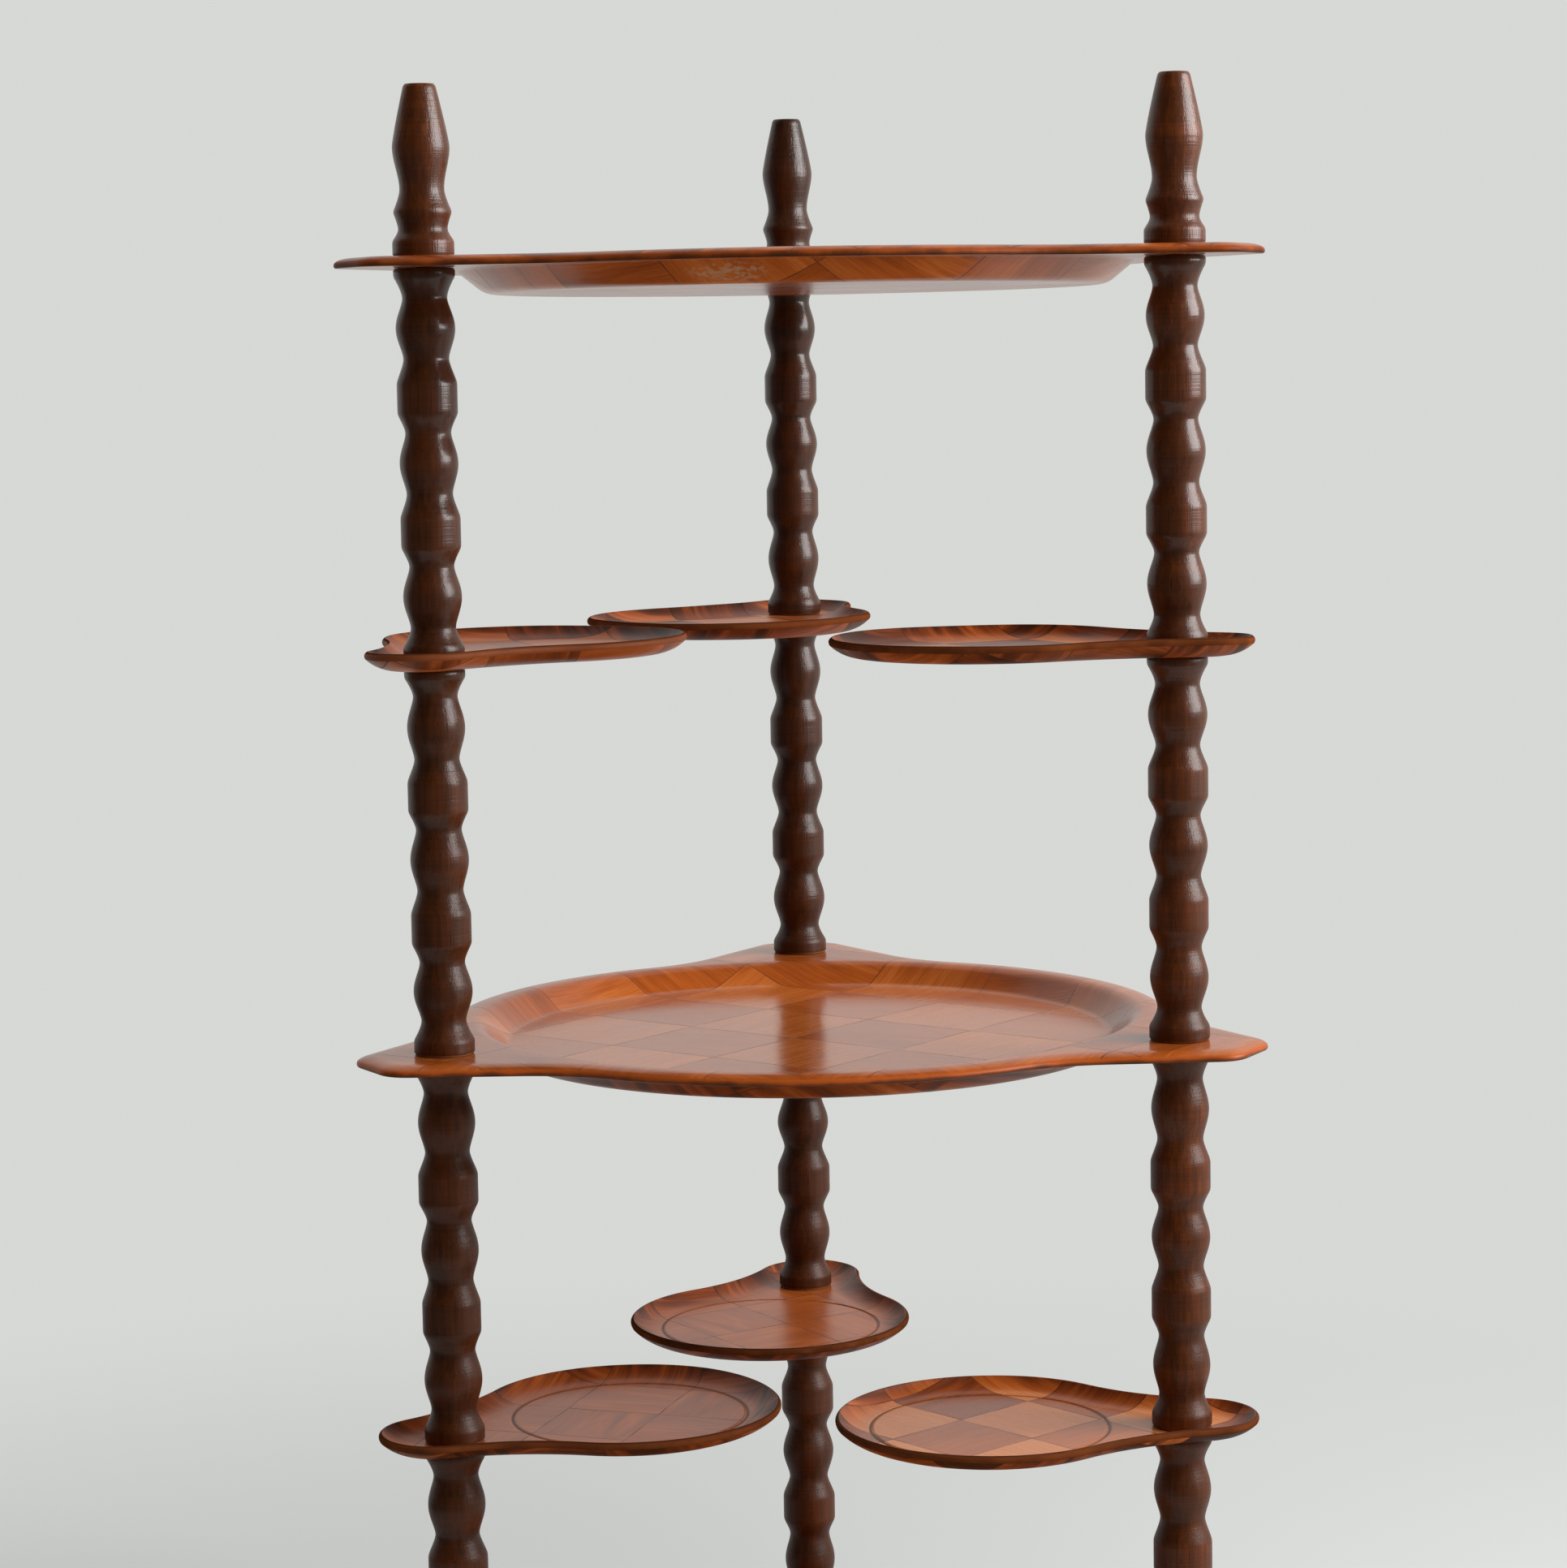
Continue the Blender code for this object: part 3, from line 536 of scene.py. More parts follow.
def fixed_outline():
    """Outline of a fixed tray about the stand's axis, anticlockwise."""
    half = half_ear()
    rim_start = math.atan2(half[-1][1], half[-1][0])
    rim = arc((0.0, 0.0), FIXED_RADIUS, rim_start, 2.0 * math.pi / 3.0 - rim_start, RIM_STEPS)[1:-1]
    ear = np.concatenate((half[:0:-1] * (1.0, -1.0), half))
    third = np.concatenate((ear, rim))
    outline = []
    for post in POSTS:
        turn = np.array((POST_AXIS[post] - STAND_AXIS).normalized())
        outline.append(np.column_stack((third @ (turn * (1.0, -1.0)), third @ turn[::-1])))
    return np.concatenate(outline)


def inset(outline, distance):
    """Outline moved inwards along its normals."""
    tangent = np.roll(outline, -1, axis=0) - np.roll(outline, 1, axis=0)
    tangent = tangent / np.linalg.norm(tangent, axis=1, keepdims=True)
    return outline - distance * np.column_stack((tangent[:, 1], -tangent[:, 0]))


def rounded_corner(before, corner, after, radius):
    """Curve that rounds one corner of a profile."""
    before, corner, after = np.array(before), np.array(corner), np.array(after)
    back = (before - corner) / np.linalg.norm(before - corner)
    ahead = (after - corner) / np.linalg.norm(after - corner)
    length = radius / math.tan(math.acos(back @ ahead) / 2.0)
    share = np.linspace(0.0, 1.0, ROUND_STEPS + 1)[:, None]
    start, end = corner + length * back, corner + length * ahead
    return (1 - share) ** 2 * start + 2 * share * (1 - share) * corner + share ** 2 * end


def dish_profile(drop):
    """Radius and height of the dish from mouth to floor, drop below the top face of the sheet."""
    slope = math.atan2(DISH_DEPTH, DISH_WALL_RUN)
    shift = drop * math.tan(slope / 2.0)
    mouth = (DISH_MOUTH_RADIUS + shift, -drop)
    floor = (DISH_MOUTH_RADIUS - DISH_WALL_RUN + shift, -DISH_DEPTH - drop)
    lip = DISH_LIP_ROUND if drop == 0.0 else DISH_ROOT_ROUND
    lip_curve = rounded_corner((mouth[0] + DISH_WALL_RUN, mouth[1]), mouth, floor, lip)
    floor_curve = rounded_corner(mouth, floor, (0.0, floor[1]), DISH_FLOOR_ROUND + drop)
    wall = np.linspace(lip_curve[-1], floor_curve[0], SPREAD_STEPS + 1)[1:-1]
    return np.concatenate((lip_curve, wall, floor_curve))


def grid_place(plan, side, grid):
    """Place on the flattened sheet, measured along the veneer squares from a corner of their grid."""
    turn = math.radians(grid.turn)
    along = np.array((math.cos(turn), math.sin(turn)))
    across = np.array((-along[1], along[0]))
    from_corner = plan - np.array(grid.corner)
    return np.column_stack((from_corner @ along, from_corner @ across, np.full(len(plan), float(side))))


def fixed_tray_mesh(level):
    """Round dished tray with ears.

    Its rings run from the middle of the under side round the edge to the middle of the top.
    """
    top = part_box("tray_" + level)[1].z
    grid = FIXED_GRID[level]
    outline = fixed_outline()
    outward = outline / np.linalg.norm(outline, axis=1, keepdims=True)
    rings = []

    def add(plan, height, extra, depth, side):
        """One ring: extra is the sheet's own length beyond its plan radius."""
        flat = plan + outward[:len(plan)] * extra
        on_wall = min(1.0, extra / WALL_STRETCH)
        rings.append({
            "place": np.column_stack((plan + np.array(STAND_AXIS), np.full(len(plan), top + height))),
            "sheet": grid_place(flat, side, grid),
            "depth": depth,
            "contrast": grid.contrast * (1.0 - WALL_FADE * on_wall),
            # on the under side, shade paints the shade beneath the tray into its colour
            "shade": grid.under if side else grid.top + WALL_SHADE * on_wall,
            "edge_shade": grid.edge,
        })

    def face(drop, depth, side):
        """Rings of one face of the sheet from its middle to its edge, as calls to add."""
        profile = dish_profile(drop)[::-1]
        steps = np.linalg.norm(np.diff(profile, axis=0), axis=1)
        lengths = profile[0][0] + np.concatenate(([0.0], np.cumsum(steps)))
        calls = [(np.zeros((1, 2)), profile[0][1], 0.0)]
        for share in np.linspace(0.0, 1.0 - FLAT_GUARD, SPREAD_STEPS)[1:]:
            calls.append((outward * profile[0][0] * share, profile[0][1], 0.0))
        for (radius, height), length in zip(profile, lengths):
            calls.append((outward * radius, height, length - radius))
        mouth = outward * profile[-1][0]
        edge = inset(outline, EDGE_ROUND_UNDER if side else EDGE_ROLL_WIDTH)
        for share in np.linspace(0.0, 1.0, SPREAD_STEPS + 1)[1:]:
            calls.append((mix(mouth, edge, share), -drop, lengths[-1] - profile[-1][0]))
        return [call + (depth, side) for call in calls]

    under = face(FIXED_SHEET, 1.0, 1)
    over = face(0.0, 0.0, 0)
    extra = over[-1][2]
    for call in under:
        add(*call)
    for angle in np.linspace(0.0, math.pi / 2.0, ROUND_STEPS + 1)[1:]:
        plan = inset(outline, EDGE_ROUND_UNDER * (1.0 - math.sin(angle)))
        height = EDGE_ROUND_UNDER * (1.0 - math.cos(angle)) - FIXED_SHEET
        add(plan, height, extra, -height / FIXED_SHEET, 0)
    for angle in np.linspace(math.pi / 2.0, 0.0, ROUND_STEPS + 1)[:-1]:
        plan = inset(outline, EDGE_ROLL_WIDTH * (1.0 - math.sin(angle)))
        height = -EDGE_ROLL_DROP * (1.0 - math.cos(angle))
        add(plan, height, extra, -height / FIXED_SHEET, 0)
    for call in over[::-1]:
        add(*call)
    return loft("tray_%s_sheet" % level, rings)


def pear_outline(offset):
    """Pear outline about the pivot, +X to its wide end, grown by offset."""
    bowl_turn = math.atan2(FLANK_Y, FLANK_X - PEAR_BOWL_OFFSET)
    tip_turn = math.atan2(FLANK_Y, FLANK_X + PEAR_TIP_OFFSET)
    bowl = arc((PEAR_BOWL_OFFSET, 0.0), PEAR_BOWL_RADIUS + offset, -bowl_turn, bowl_turn, BOWL_STEPS)
    flank = arc((FLANK_X, FLANK_Y), PEAR_FLANK_RADIUS - offset,
                bowl_turn - math.pi, tip_turn - math.pi, PEAR_FLANK_STEPS)[1:-1]
    tip = arc((-PEAR_TIP_OFFSET, 0.0), PEAR_TIP_RADIUS + offset,
              tip_turn, 2.0 * math.pi - tip_turn, PEAR_TIP_STEPS)
    return np.concatenate((bowl, flank, tip, flank[::-1] * (1.0, -1.0)))


def waver(count, draw):
    """Slow closed wander between 0 and 1 round an outline."""
    turn = np.linspace(0.0, 2.0 * np.pi, count, endpoint=False)
    waves = [np.sin(number * turn + draw.uniform(0.0, 2.0 * np.pi)) / number for number in LIP_WAVES]
    total = np.sum(waves, axis=0)
    return (total - total.min()) / (total.max() - total.min())


def swing_tray_mesh(level, post, draw):
    """Pear-shaped tray with its lip turned up.

    Its rings run from the middle of the under side over the lip to the middle of the top.
    """
    node = "swing_tray_%s_%s" % (level, post)
    grid = SWING_GRID[level, post]
    pivot = PIVOT[node]
    ahead = np.array((MOUNT[node + "_floor"] - pivot).xy.normalized())
    across = np.array((-ahead[1], ahead[0]))
    middle = np.array((PEAR_BOWL_OFFSET, 0.0))
    root = pear_outline(-LIP_RUN)
    spoke = (root - middle) / np.linalg.norm(root - middle, axis=1, keepdims=True)
    normal = pear_outline(-LIP_RUN + OUTLINE_NUDGE) - root
    normal = normal / np.linalg.norm(normal, axis=1, keepdims=True)
    lip_share = 1.0 - LIP_WAVER * waver(len(root), draw)
    rings = []

    def add(plan, height, flat, depth, groove=0.0, side=0, lip=0.0):
        world = pivot.z + np.broadcast_to(height, len(plan))
        fade = LIP_FADE_OUTSIDE if side else LIP_FADE
        turned = np.outer(plan[:, 0], ahead) + np.outer(plan[:, 1], across) + np.array(pivot.xy)
        rings.append({
            "place": np.column_stack((turned, world)),
            "sheet": grid_place(flat, side, grid),
            "depth": depth,
            "groove": groove,
            "contrast": grid.contrast * (1.0 - fade * lip),
            # on the under side, shade paints the shade beneath the tray into its colour
            "shade": grid.under if side else grid.top + LIP_SHADE * lip,
            "edge_shade": grid.edge,
        })

    def level_ring(plan, height, depth, groove=0.0, side=0):
        add(plan, height, plan, depth, groove, side)

    def lip_ring(bend, through, run=0.0):
        """Ring at a share of the lip's bend, at a depth through the sheet, short of its end by run."""
        turn = bend * LIP_ANGLE * lip_share - run / LIP_BEND_RADIUS
        radius = LIP_BEND_RADIUS + through
        out = (radius * np.sin(turn))[:, None]
        height = LIP_BEND_RADIUS - radius * np.cos(turn)
        flat = root + normal * (LIP_BEND_RADIUS * turn)[:, None]
        side = 1 if through > SWING_SHEET / 2.0 else 0
        add(root + normal * out, height, flat, through / SWING_SHEET, 0.0, side, bend)

    floor_radius = GROOVE_OUTER_RADIUS - GROOVE_WIDTH
    floor_radii = np.linspace(0.0, floor_radius * (1.0 - FLAT_GUARD), SPREAD_STEPS)
    floor_radii = np.append(floor_radii, floor_radius)
    groove_ring = middle + spoke * GROOVE_OUTER_RADIUS
    for radius in floor_radii:
        plan = middle + (spoke if radius > 0.0 else spoke[:1]) * radius
        level_ring(plan, -SWING_SHEET, 1.0, 0.0, 1)
    for share in np.linspace(0.0, 1.0, SPREAD_STEPS)[:-1]:
        level_ring(mix(groove_ring, root, share), -SWING_SHEET, 1.0, 0.0, 1)
    bends = np.linspace(0.0, 1.0, BEND_STEPS + 1)
    for bend in bends[:-1]:
        lip_ring(bend, SWING_SHEET)
    corner = np.linspace(0.0, math.pi / 2.0, ROUND_STEPS + 1)
    for angle in corner:
        through = SWING_SHEET - LIP_ROUND_OUTER * (1.0 - math.cos(angle))
        lip_ring(1.0, through, LIP_ROUND_OUTER * (1.0 - math.sin(angle)))
    for angle in corner[::-1]:
        through = LIP_ROUND_INNER * (1.0 - math.cos(angle))
        lip_ring(1.0, through, LIP_ROUND_INNER * (1.0 - math.sin(angle)))
    for bend in bends[-2::-1]:
        lip_ring(bend, 0.0)
    for share in np.append(np.linspace(1.0 - FLAT_GUARD, FLAT_GUARD, SPREAD_STEPS), 0.0):
        level_ring(mix(groove_ring, root, share), 0.0, 0.0)
    for share in np.linspace(0.0, 1.0, ROUND_STEPS + 1)[1:]:
        hollow = math.sin(math.pi * share)
        radius = GROOVE_OUTER_RADIUS - GROOVE_WIDTH * share
        level_ring(middle + spoke * radius, -GROOVE_DEPTH * hollow, 0.0, hollow)
    for radius in floor_radii[-2::-1]:
        plan = middle + (spoke if radius > 0.0 else spoke[:1]) * radius
        level_ring(plan, 0.0, 0.0)
    return loft(node + "_sheet", rings)


class Nodes:
    """A node tree being made."""

    def __init__(self, tree):
        self.tree = tree

    def put(self, socket, value):
        if isinstance(value, bpy.types.NodeSocket):
            self.tree.links.new(value, socket)
        else:
            socket.default_value = value

    def node(self, kind, values, **settings):
        made = self.tree.nodes.new(kind)
        for key, value in settings.items():
            setattr(made, key, value)
        for key, value in values.items():
            self.put(made.inputs[key], value)
        return made

    def math(self, operation, *values, clamp=False):
        values = dict(enumerate(values))
        return self.node("ShaderNodeMath", values, operation=operation, use_clamp=clamp).outputs[0]


class Paint(Nodes):
    """A node material being made, with short calls for the nodes that are used here."""

    def __init__(self, name):
        self.material = bpy.data.materials.new(name)
        self.material.use_nodes = True
        super().__init__(self.material.node_tree)
        self.shader = self.tree.nodes["Principled BSDF"]
        self.output = self.tree.nodes["Material Output"]

    def surface(self, **values):
        """Shader inputs by name, with _ for a space."""
        for key, value in values.items():
            self.put(self.shader.inputs[key.replace("_", " ")], value)

    def place(self):
        return self.node("ShaderNodeTexCoord", {}).outputs["Object"]

    def attribute(self, name, output="Fac"):
        return self.node("ShaderNodeAttribute", {}, attribute_name=name).outputs[output]

    def vector(self, operation, *values):
        return self.node("ShaderNodeVectorMath", dict(enumerate(values)), operation=operation).outputs[0]

    def length(self, vector):
        return self.node("ShaderNodeVectorMath", {0: vector}, operation="LENGTH").outputs[1]

    def bump(self, height, strength, distance):
        values = {"Strength": strength, "Distance": distance, "Height": height}
        return self.node("ShaderNodeBump", values).outputs[0]

    def parts(self, vector):
        return self.node("ShaderNodeSeparateXYZ", {0: vector}).outputs

    def noise(self, vector, scale, detail=3.0, distortion=0.0):
        """Noise with its own scale along each axis."""
        stretched = self.vector("MULTIPLY", vector, scale)
        values = {"Vector": stretched, "Scale": 1.0, "Detail": detail, "Distortion": distortion}
        return self.node("ShaderNodeTexNoise", values).outputs[0]

    def span(self, value, low, high, to_low=0.0, to_high=1.0):
        """Value carried smoothly from one range to another and held at its ends."""
        values = {0: value, 1: low, 2: high, 3: to_low, 4: to_high}
        return self.node("ShaderNodeMapRange", values, interpolation_type="SMOOTHSTEP").outputs[0]

    def ramp(self, factor, stops):
        made = self.node("ShaderNodeValToRGB", {0: factor})
        elements = made.color_ramp.elements
        while len(elements) < len(stops):
            elements.new(1.0)
        for element, (place, colour) in zip(elements, stops):
            element.position = place
            element.color = (*colour, 1.0)
        return made.outputs[0]

    def blend(self, factor, first, second):
        return self.node("ShaderNodeMix", {0: factor, 6: first, 7: second}, data_type="RGBA").outputs[2]

    def sum(self, *terms):
        """Sum of (value, weight) pairs."""
        total = 0.0
        for value, weight in terms:
            total = self.math("MULTIPLY_ADD", value, weight, total)
        return total


def turned_wood():
    """Dark stained wood with streaks, pores and lathe lines, crowns lighter and necks darker as partly wear and
    stain, partly painted highlight and shade, under a coat worn low down.
    """
    paint = Paint("dark_turned_wood")
    place = paint.place()
    height = paint.parts(place)[2]
    streak = paint.noise(place, STREAK_SCALE, 4.0, 0.4)
    mottle = paint.noise(place, MOTTLE_SCALE, 2.0)
    pore = paint.noise(place, TURNED_PORE_SCALE, 2.0)
    lathe = paint.noise(place, LATHE_SCALE, 2.0)
    band = paint.noise(place, BAND_SCALE, 2.0)
    crown = paint.attribute("crown")
    warmth = paint.attribute("warmth")
    on_finial = paint.math("GREATER_THAN", height, FINIAL_START)
    # the crown term makes crowns lighter and necks darker: partly wear and stain, partly painted highlight on the
    # crowns and painted shade in the necks
    tone = paint.sum((streak, 0.60), (mottle, 0.45), (crown, 0.09), (warmth, 0.30), (lathe, 0.20),
                     (band, 0.26), (-0.525, 1.0))
    colour = paint.ramp(tone, TURNED_TONES)
    dark_pore = paint.math("MULTIPLY", paint.span(pore, 0.62, 0.72), 0.70)
    colour = paint.blend(dark_pore, colour, TURNED_PORE_COLOUR)
    rubbed = paint.span(mottle, 0.40, 0.60, 0.25, 0.85)
    heel = paint.math("MULTIPLY", paint.attribute("heel"), rubbed)
    colour = paint.blend(heel, colour, HEEL_COLOUR)
    coat_roughness = paint.sum((streak, 0.16), (pore, 0.14), (lathe, 0.08), (mottle, 0.06), (height, -0.13),
                               (on_finial, 0.05), (0.07, 1.0))
    relief = paint.sum((lathe, 0.5), (streak, 0.6), (pore, 0.6))
    uneven = paint.span(height, *COAT_RELIEF)
    uneven = paint.math("MULTIPLY_ADD", on_finial, COAT_RELIEF_ON_FINIAL, uneven)
    paint.surface(
        Base_Color=colour,
        Roughness=paint.sum((mottle, 0.20), (streak, 0.15), (0.35, 1.0)),
        Specular_IOR_Level=TURNED_SPECULAR,
        Coat_Weight=paint.span(height, *COAT_WEIGHT),
        Coat_Roughness=coat_roughness,
        Normal=paint.bump(relief, *TURNED_RELIEF),
        Coat_Normal=paint.bump(relief, uneven, COAT_RELIEF_DISTANCE),
    )
    return paint.material


def worn_off(paint, colour, depth):
    """Colour of the veneer with the worn patch on its under side."""
    spot = paint.place()
    reach = paint.length(paint.vector("DIVIDE", paint.vector("SUBTRACT", spot, WORN_PATCH), WORN_REACH))
    flake = paint.sum((paint.noise(spot, WORN_SCALE, 6.0), 1.0), (reach, -0.16))
    worn = paint.math("MULTIPLY", paint.span(flake, 0.36, 0.52), paint.span(reach, 0.5, 1.0, 0.60, 0.0))
    worn = paint.math("MULTIPLY", worn, paint.span(depth, 0.90, 0.99))
    return paint.blend(worn, colour, WORN_COLOUR)


def veneer(name, square, edge_tones, edge_start, edge_full, roughness, gloss, grain, worn_patch):
    """Pressed veneer in squares with turned grain, dark joints, pores, a cut edge and a turned groove."""
    paint = Paint(name)
    sheet = paint.attribute("sheet", "Vector")
    depth = paint.attribute("depth")
    groove = paint.attribute("groove")
    contrast = paint.attribute("contrast")
    shade = paint.attribute("shade")
    wander = {"Vector": sheet, "Scale": WANDER_SCALE, "Detail": 1.0}
    wander = paint.node("ShaderNodeTexNoise", wander).outputs[1]
    wander = paint.vector("MULTIPLY", paint.vector("SUBTRACT", wander, (0.5, 0.5, 0.5)), WANDER_REACH)
    place = paint.vector("ADD", sheet, wander)

    in_squares = paint.vector("MULTIPLY", place, (1.0 / square, 1.0 / square, 1.0))
    cell = paint.vector("FLOOR", in_squares)
    column, row = paint.parts(cell)[:2]
    parity = paint.math("FLOORED_MODULO", paint.math("ADD", column, row), 2.0)
    centred = paint.vector("SUBTRACT", paint.vector("FRACTION", in_squares), (0.5, 0.5, 0.0))
    aside = paint.parts(paint.vector("ABSOLUTE", centred))
    to_joint = paint.math("SUBTRACT", 0.5, paint.math("MAXIMUM", aside[0], aside[1]))
    to_joint = paint.math("MULTIPLY", to_joint, square)
    chance = paint.node("ShaderNodeTexWhiteNoise", {"Vector": cell}).outputs

    flat = paint.parts(place)
    turned = paint.node("ShaderNodeCombineXYZ", {0: flat[1], 1: flat[0], 2: flat[2]}).outputs[0]
    along = paint.node("ShaderNodeMix", {0: parity, 4: place, 5: turned}, data_type="VECTOR").outputs[1]
    along = paint.vector("ADD", along, chance["Color"])
    figure = paint.noise(along, FIGURE_SCALE, 3.0, 1.2)
    line = paint.noise(along, LINE_SCALE, 4.0, 0.2)
    pore = paint.noise(along, VENEER_PORE_SCALE, 2.0)
    cloud = paint.noise(sheet, CLOUD_SCALE, 2.0)

    swing = paint.math("MULTIPLY", paint.math("SUBTRACT", parity, 0.5), contrast)
    luck = paint.math("MULTIPLY", chance["Value"], contrast)
    # shade darkens the tone and deepens the figure; on a tray's under side it is painted shade beneath the tray
    stain = paint.math("MULTIPLY", paint.math("SUBTRACT", figure, 0.5), shade)
    tone = paint.sum((swing, 0.42), (luck, 0.30), (figure, grain), (stain, 2.2), (line, 0.35),
                     (cloud, 0.20), (shade, -0.60), (0.18 - grain / 2.0, 1.0))
    colour = paint.ramp(tone, VENEER_TONES)
    dark_pore = paint.math("MULTIPLY", paint.span(pore, 0.60, 0.74), 0.45)
    colour = paint.blend(dark_pore, colour, VENEER_PORE_COLOUR)
    strength = paint.span(paint.noise(sheet, JOINT_SCALE, 1.0), 0.35, 0.62, 0.40, 0.95)
    joint = paint.math("MULTIPLY", paint.span(to_joint, *JOINT_WIDTH, 1.0, 0.0), strength)
    colour = paint.blend(joint, colour, JOINT_COLOUR)
    # the groove is darkened with painted shade
    colour = paint.blend(paint.span(groove, 0.2, 0.9), colour, GROOVE_SHADE_COLOUR)

    above_under_side = paint.span(depth, 0.96, 0.995, 1.0, 0.0)
    edge = paint.math("MULTIPLY", paint.span(depth, edge_start, edge_full), above_under_side)
    chip = paint.noise(sheet, CHIP_SCALE, 4.0)
    ply = paint.sum((depth, 1.0), (cloud, 0.40), (chip, 0.70), (-0.55, 1.0))
    blotch = paint.span(chip, 0.30, 0.70, 0.7, 1.2)
    stained = paint.math("MULTIPLY", paint.attribute("edge_shade"), blotch, clamp=True)
    cut = paint.blend(stained, paint.ramp(ply, edge_tones), EDGE_STAIN_COLOUR)
    colour = paint.blend(edge, colour, cut)
    if worn_patch:
        colour = worn_off(paint, colour, depth)

    ripple = paint.noise(sheet, RIPPLE_SCALE, 1.0)
    relief = paint.sum((line, 0.10), (pore, 0.08), (joint, -0.6), (ripple, 0.9))
    paint.surface(
        Base_Color=colour,
        Roughness=paint.sum((cloud, 0.12), (line, 0.08), (joint, 0.15), (edge, 0.15), (shade, 0.35),
                            (roughness, 1.0)),
        Specular_IOR_Level=paint.sum((shade, -0.45), (edge, -0.22), (groove, -0.35), (gloss, 1.0)),
        Normal=paint.bump(relief, *VENEER_RELIEF),
    )
    return paint.material


def stud_steel():
    """Plain steel with fine rolled threads and drawn streaks."""
    paint = Paint("stud_steel")
    place = paint.place()
    drawn = paint.noise(place, DRAWN_SCALE, 3.0)
    tarnish = paint.noise(place, TARNISH_SCALE, 2.0)
    turns = paint.math("MULTIPLY", paint.parts(place)[2], 2.0 * math.pi / THREAD_PITCH)
    paint.surface(
        Base_Color=paint.ramp(paint.sum((drawn, 0.6), (tarnish, 0.4)), STEEL_TONES),
        Metallic=1.0,
        Roughness=paint.sum((tarnish, 0.25), (drawn, 0.15), (0.22, 1.0)),
        Normal=paint.bump(paint.math("SINE", turns), *THREAD_RELIEF),
    )
    return paint.material


WOOD = turned_wood()
FIXED_VENEER = veneer("tray_veneer", FIXED_SQUARE, FIXED_EDGE_TONES, edge_start=0.22, edge_full=0.48,
                      roughness=0.10, gloss=0.38, grain=0.46, worn_patch=True)
SWING_VENEER = veneer("swing_tray_veneer", SWING_SQUARE, SWING_EDGE_TONES, edge_start=0.04, edge_full=0.14,
                      roughness=0.19, gloss=0.42, grain=0.44, worn_patch=False)
STEEL = stud_steel()


def build_posts():
    """Feet, spindles and finials of the three posts, and the studs' own finish."""
    for number, post in enumerate(POSTS):
        draw = np.random.default_rng(POST_SEED + number)
        node = "foot_" + post
        mesh = turned_mesh(node, foot_radius, False, True, FOOT_WARMTH[post], draw)
        dress(node + "_turned", mesh, WOOD, node, "frame")
        for storey, warmth in enumerate(SPINDLE_WARMTH[post]):
            node = "spindle_%s_%d" % (post, storey + 1)
            mesh = turned_mesh(node, spindle_radius, True, True, warmth, draw)
            dress(node + "_turned", mesh, WOOD, node, "frame")
        node = "finial_" + post
        mesh = turned_mesh(node, finial_radius, True, False, FINIAL_WARMTH[post], draw)
        dress(node + "_turned", mesh, WOOD, node, "frame")
    for name, node in frame["nodes"].items():
        if name.startswith("stud_"):
            node.data.materials.clear()
            node.data.materials.append(STEEL)


def build_trays():
    """Three fixed trays and six swinging ones."""
    for level in FIXED_GRID:
        node = "tray_" + level
        dress(node + "_sheet", fixed_tray_mesh(level), FIXED_VENEER, node, "frame")
    for number, (level, post) in enumerate(SWING_GRID):
        node = "swing_tray_%s_%s" % (level, post)
        draw = np.random.default_rng(SWING_SEED + number)
        mesh = swing_tray_mesh(level, post, draw)
        dress(node + "_sheet", mesh, SWING_VENEER, node, node)


def build_floor():
    """Plain pale floor that keeps the stand's shadow and melts into the surroundings further out."""
    bpy.ops.mesh.primitive_circle_add(
        vertices=FLOOR_SEGMENTS, radius=FLOOR_RADIUS, fill_type="NGON", location=(0.0, 0.0, -FLOOR_DROP))
    floor = bpy.context.object
    floor.name = "floor"
    paint = Paint("pale_floor")
    place = paint.place()
    paint.surface(
        Base_Color=paint.ramp(paint.noise(place, FLOOR_SCALE), FLOOR_TONES),
        Roughness=MATT_ROUGHNESS,
        Specular_IOR_Level=0.0,
    )
    melt = paint.span(paint.length(place), FLOOR_MELT_START, FLOOR_MELT_END)
    far = paint.node("ShaderNodeEmission", {"Color": SURROUNDINGS, "Strength": 1.0}).outputs[0]
    mixed = paint.node("ShaderNodeMixShader", {0: melt, 1: paint.shader.outputs[0], 2: far})
    paint.put(paint.output.inputs["Surface"], mixed.outputs[0])
    paint.material.cycles.emission_sampling = "NONE"
    floor.data.materials.append(paint.material)


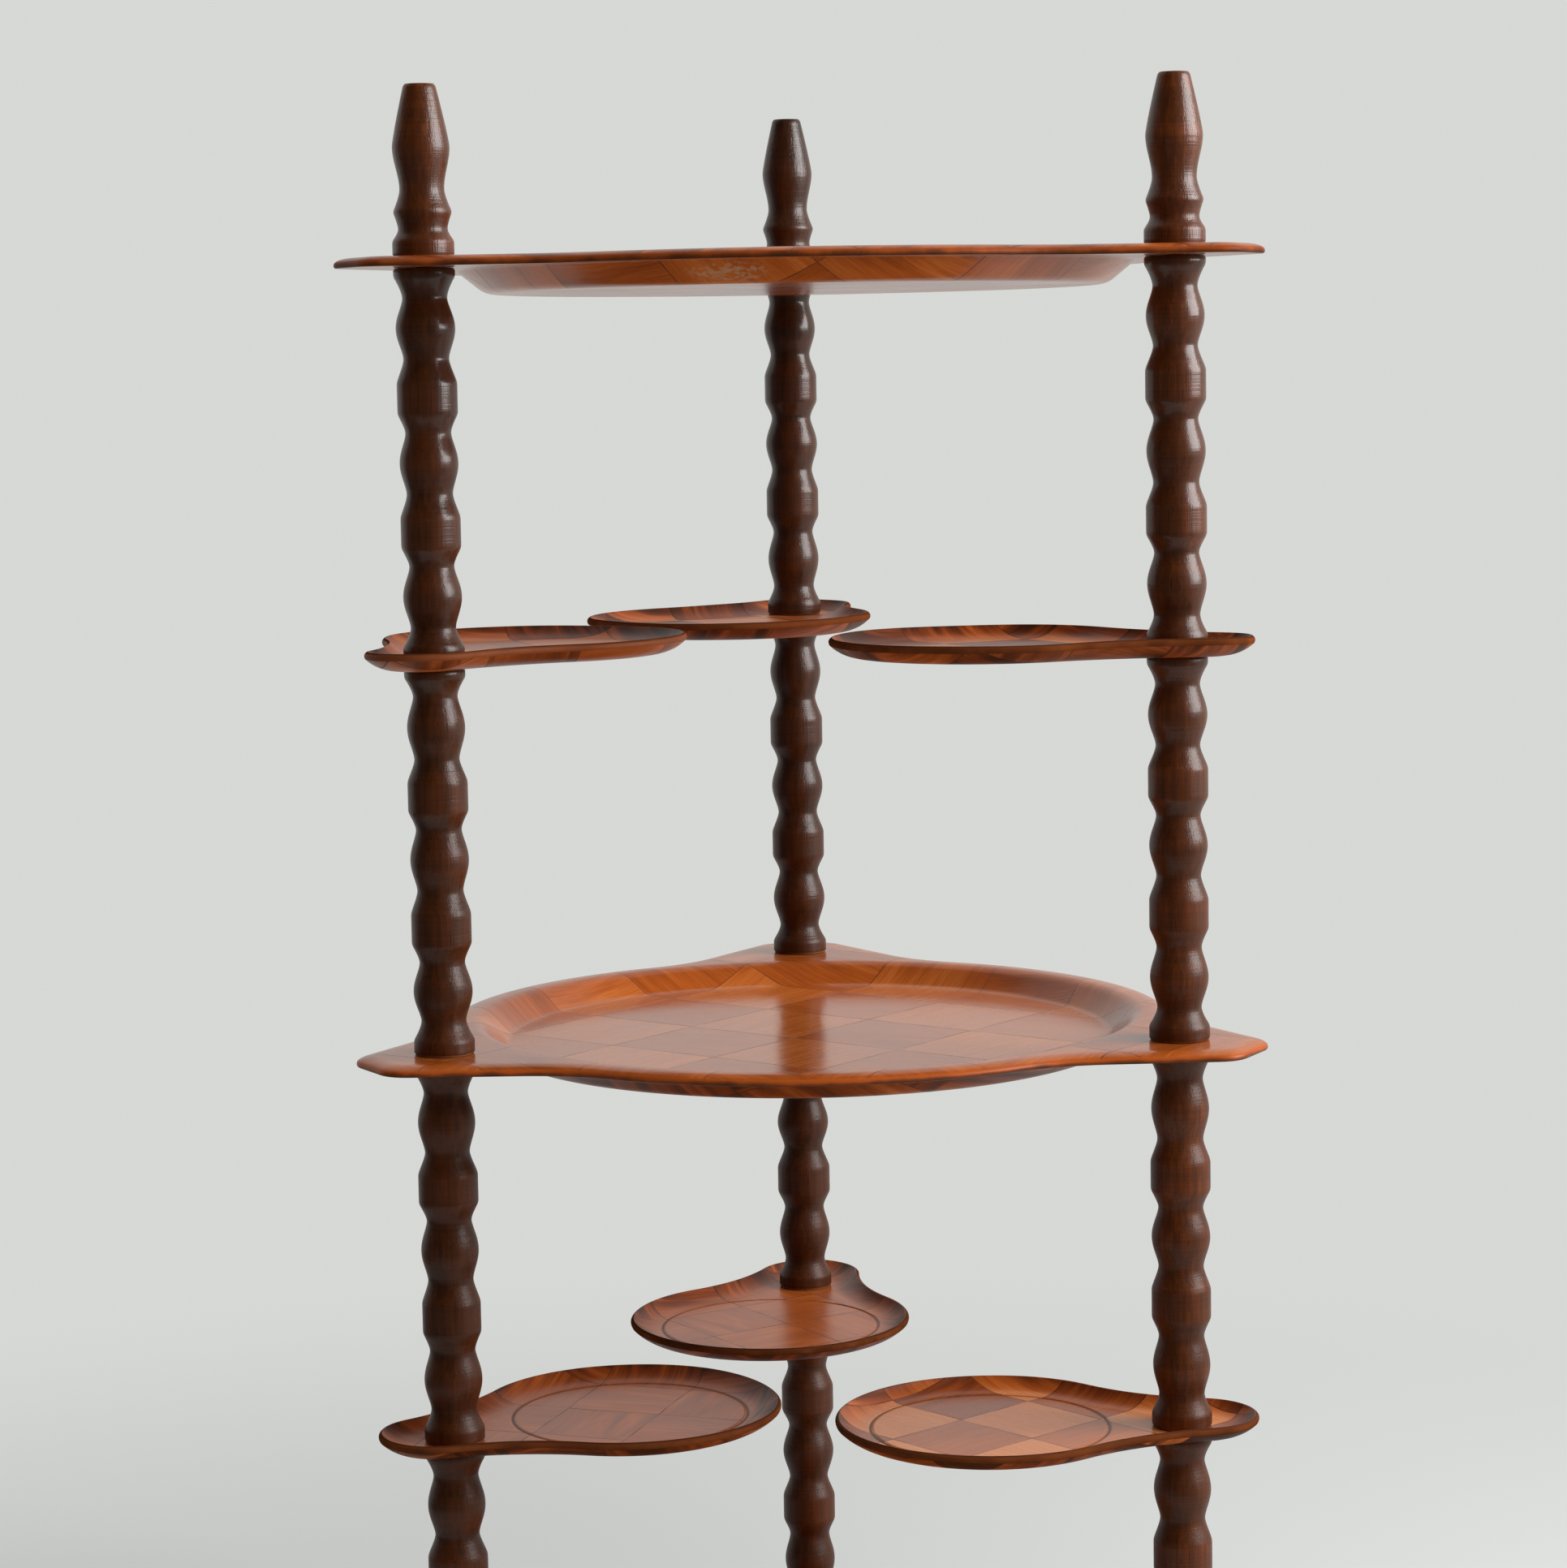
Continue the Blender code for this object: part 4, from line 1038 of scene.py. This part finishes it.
def build_room():
    """Dark sides of a room round the camera, unseen by it, which keep the posts' gloss from greying.

    Its floor lies on the pale floor and shows in gloss alone, so the pale floor keeps its light.
    """
    paint = Paint("dark_room")
    paint.surface(
        Base_Color=paint.ramp(paint.noise(paint.place(), ROOM_SCALE), ROOM_TONES),
        Roughness=MATT_ROUGHNESS,
    )
    middle = ROOM_REACH / 2.0
    upright = math.pi / 2.0
    level = (0.0, 0.0, 0.0)
    whole = (2.0 * ROOM_REACH, ROOM_REACH)
    left_middle = ROOM_BEHIND / 2.0 - middle
    floor_middle = (ROOM_BEHIND - ROOM_START) / 2.0
    sides = (
        ("room_front", (0.0, -ROOM_REACH, middle), (upright, 0.0, 0.0), whole),
        ("room_left", (-ROOM_REACH, left_middle, middle), (upright, 0.0, upright),
         (ROOM_REACH + ROOM_BEHIND, ROOM_REACH)),
        ("room_ceiling", (0.0, -middle, ROOM_REACH), level, whole),
        ("room_floor_front", (0.0, -middle - ROOM_START, 0.0), level, whole),
        ("room_floor_left", (-middle - ROOM_START, floor_middle, 0.0), level,
         (ROOM_REACH, ROOM_BEHIND + ROOM_START)),
    )
    for name, location, rotation, size in sides:
        bpy.ops.mesh.primitive_plane_add(size=1.0, location=location, rotation=rotation)
        panel = bpy.context.object
        panel.name = name
        panel.scale = (*size, 1.0)
        panel.visible_camera = False
        panel.data.materials.append(paint.material)
        if name.startswith("room_floor"):
            panel.visible_diffuse = False
            panel.visible_transmission = False
            panel.visible_shadow = False


def build_world():
    """Pale surroundings for the camera and in the gloss, and an even soft light."""
    world = bpy.data.worlds.new("pale_room")
    world.use_nodes = True
    bpy.context.scene.world = world
    world.node_tree.nodes.clear()
    nodes = Nodes(world.node_tree)
    path = nodes.node("ShaderNodeLightPath", {}).outputs
    seen = nodes.node("ShaderNodeBackground", {"Color": SURROUNDINGS, "Strength": 1.0})
    light = nodes.node("ShaderNodeBackground", {"Color": AMBIENT_COLOUR, "Strength": AMBIENT_STRENGTH})
    mirrored = nodes.math("MAXIMUM", path["Is Glossy Ray"], path["Is Transmission Ray"])
    direct = nodes.math("MAXIMUM", path["Is Camera Ray"], mirrored)
    shown = nodes.node("ShaderNodeMixShader", {0: direct, 1: light.outputs[0], 2: seen.outputs[0]})
    nodes.node("ShaderNodeOutputWorld", {0: shown.outputs[0]})


def build_lamp(name, lamp):
    """Rectangular soft light that faces a target, seen or not seen in glossy surfaces."""
    data = bpy.data.lights.new(name, "AREA")
    data.shape = "RECTANGLE"
    data.size, data.size_y = lamp.size
    data.energy = lamp.power
    made = bpy.data.objects.new(name, data)
    bpy.context.scene.collection.objects.link(made)
    made.visible_glossy = lamp.mirrored
    made.location = lamp.place
    aim = Vector(lamp.target) - Vector(lamp.place)
    made.rotation_euler = aim.to_track_quat("-Z", "Y").to_euler()


def build_stage():
    """Floor, room, surroundings, a window-like light at the right, and weak ones in front and above."""
    bpy.context.scene.view_settings.view_transform = "Standard"
    build_floor()
    build_room()
    build_world()
    for name, lamp in LAMPS.items():
        build_lamp(name, lamp)


def build_camera():
    """Camera at the photograph's viewpoint."""
    data = bpy.data.cameras.new("camera")
    data.sensor_width = SENSOR_WIDTH
    data.sensor_fit = "HORIZONTAL"
    data.lens = SENSOR_WIDTH * FOCAL_LENGTH / PHOTO_WIDTH
    data.clip_end = CAMERA_CLIP_END
    camera = bpy.data.objects.new("camera", data)
    bpy.context.scene.collection.objects.link(camera)
    turn = Matrix.Rotation(CAMERA_YAW, 3, "Z") @ Matrix.Rotation(CAMERA_PITCH, 3, "X")
    turn = turn @ Matrix.Rotation(CAMERA_ROLL, 3, "Y") @ Matrix.Rotation(math.pi / 2.0, 3, "X")
    camera.matrix_world = Matrix.Translation(CAMERA_PLACE) @ turn.to_4x4()
    bpy.context.scene.camera = camera


build_posts()
build_trays()
build_stage()
build_camera()
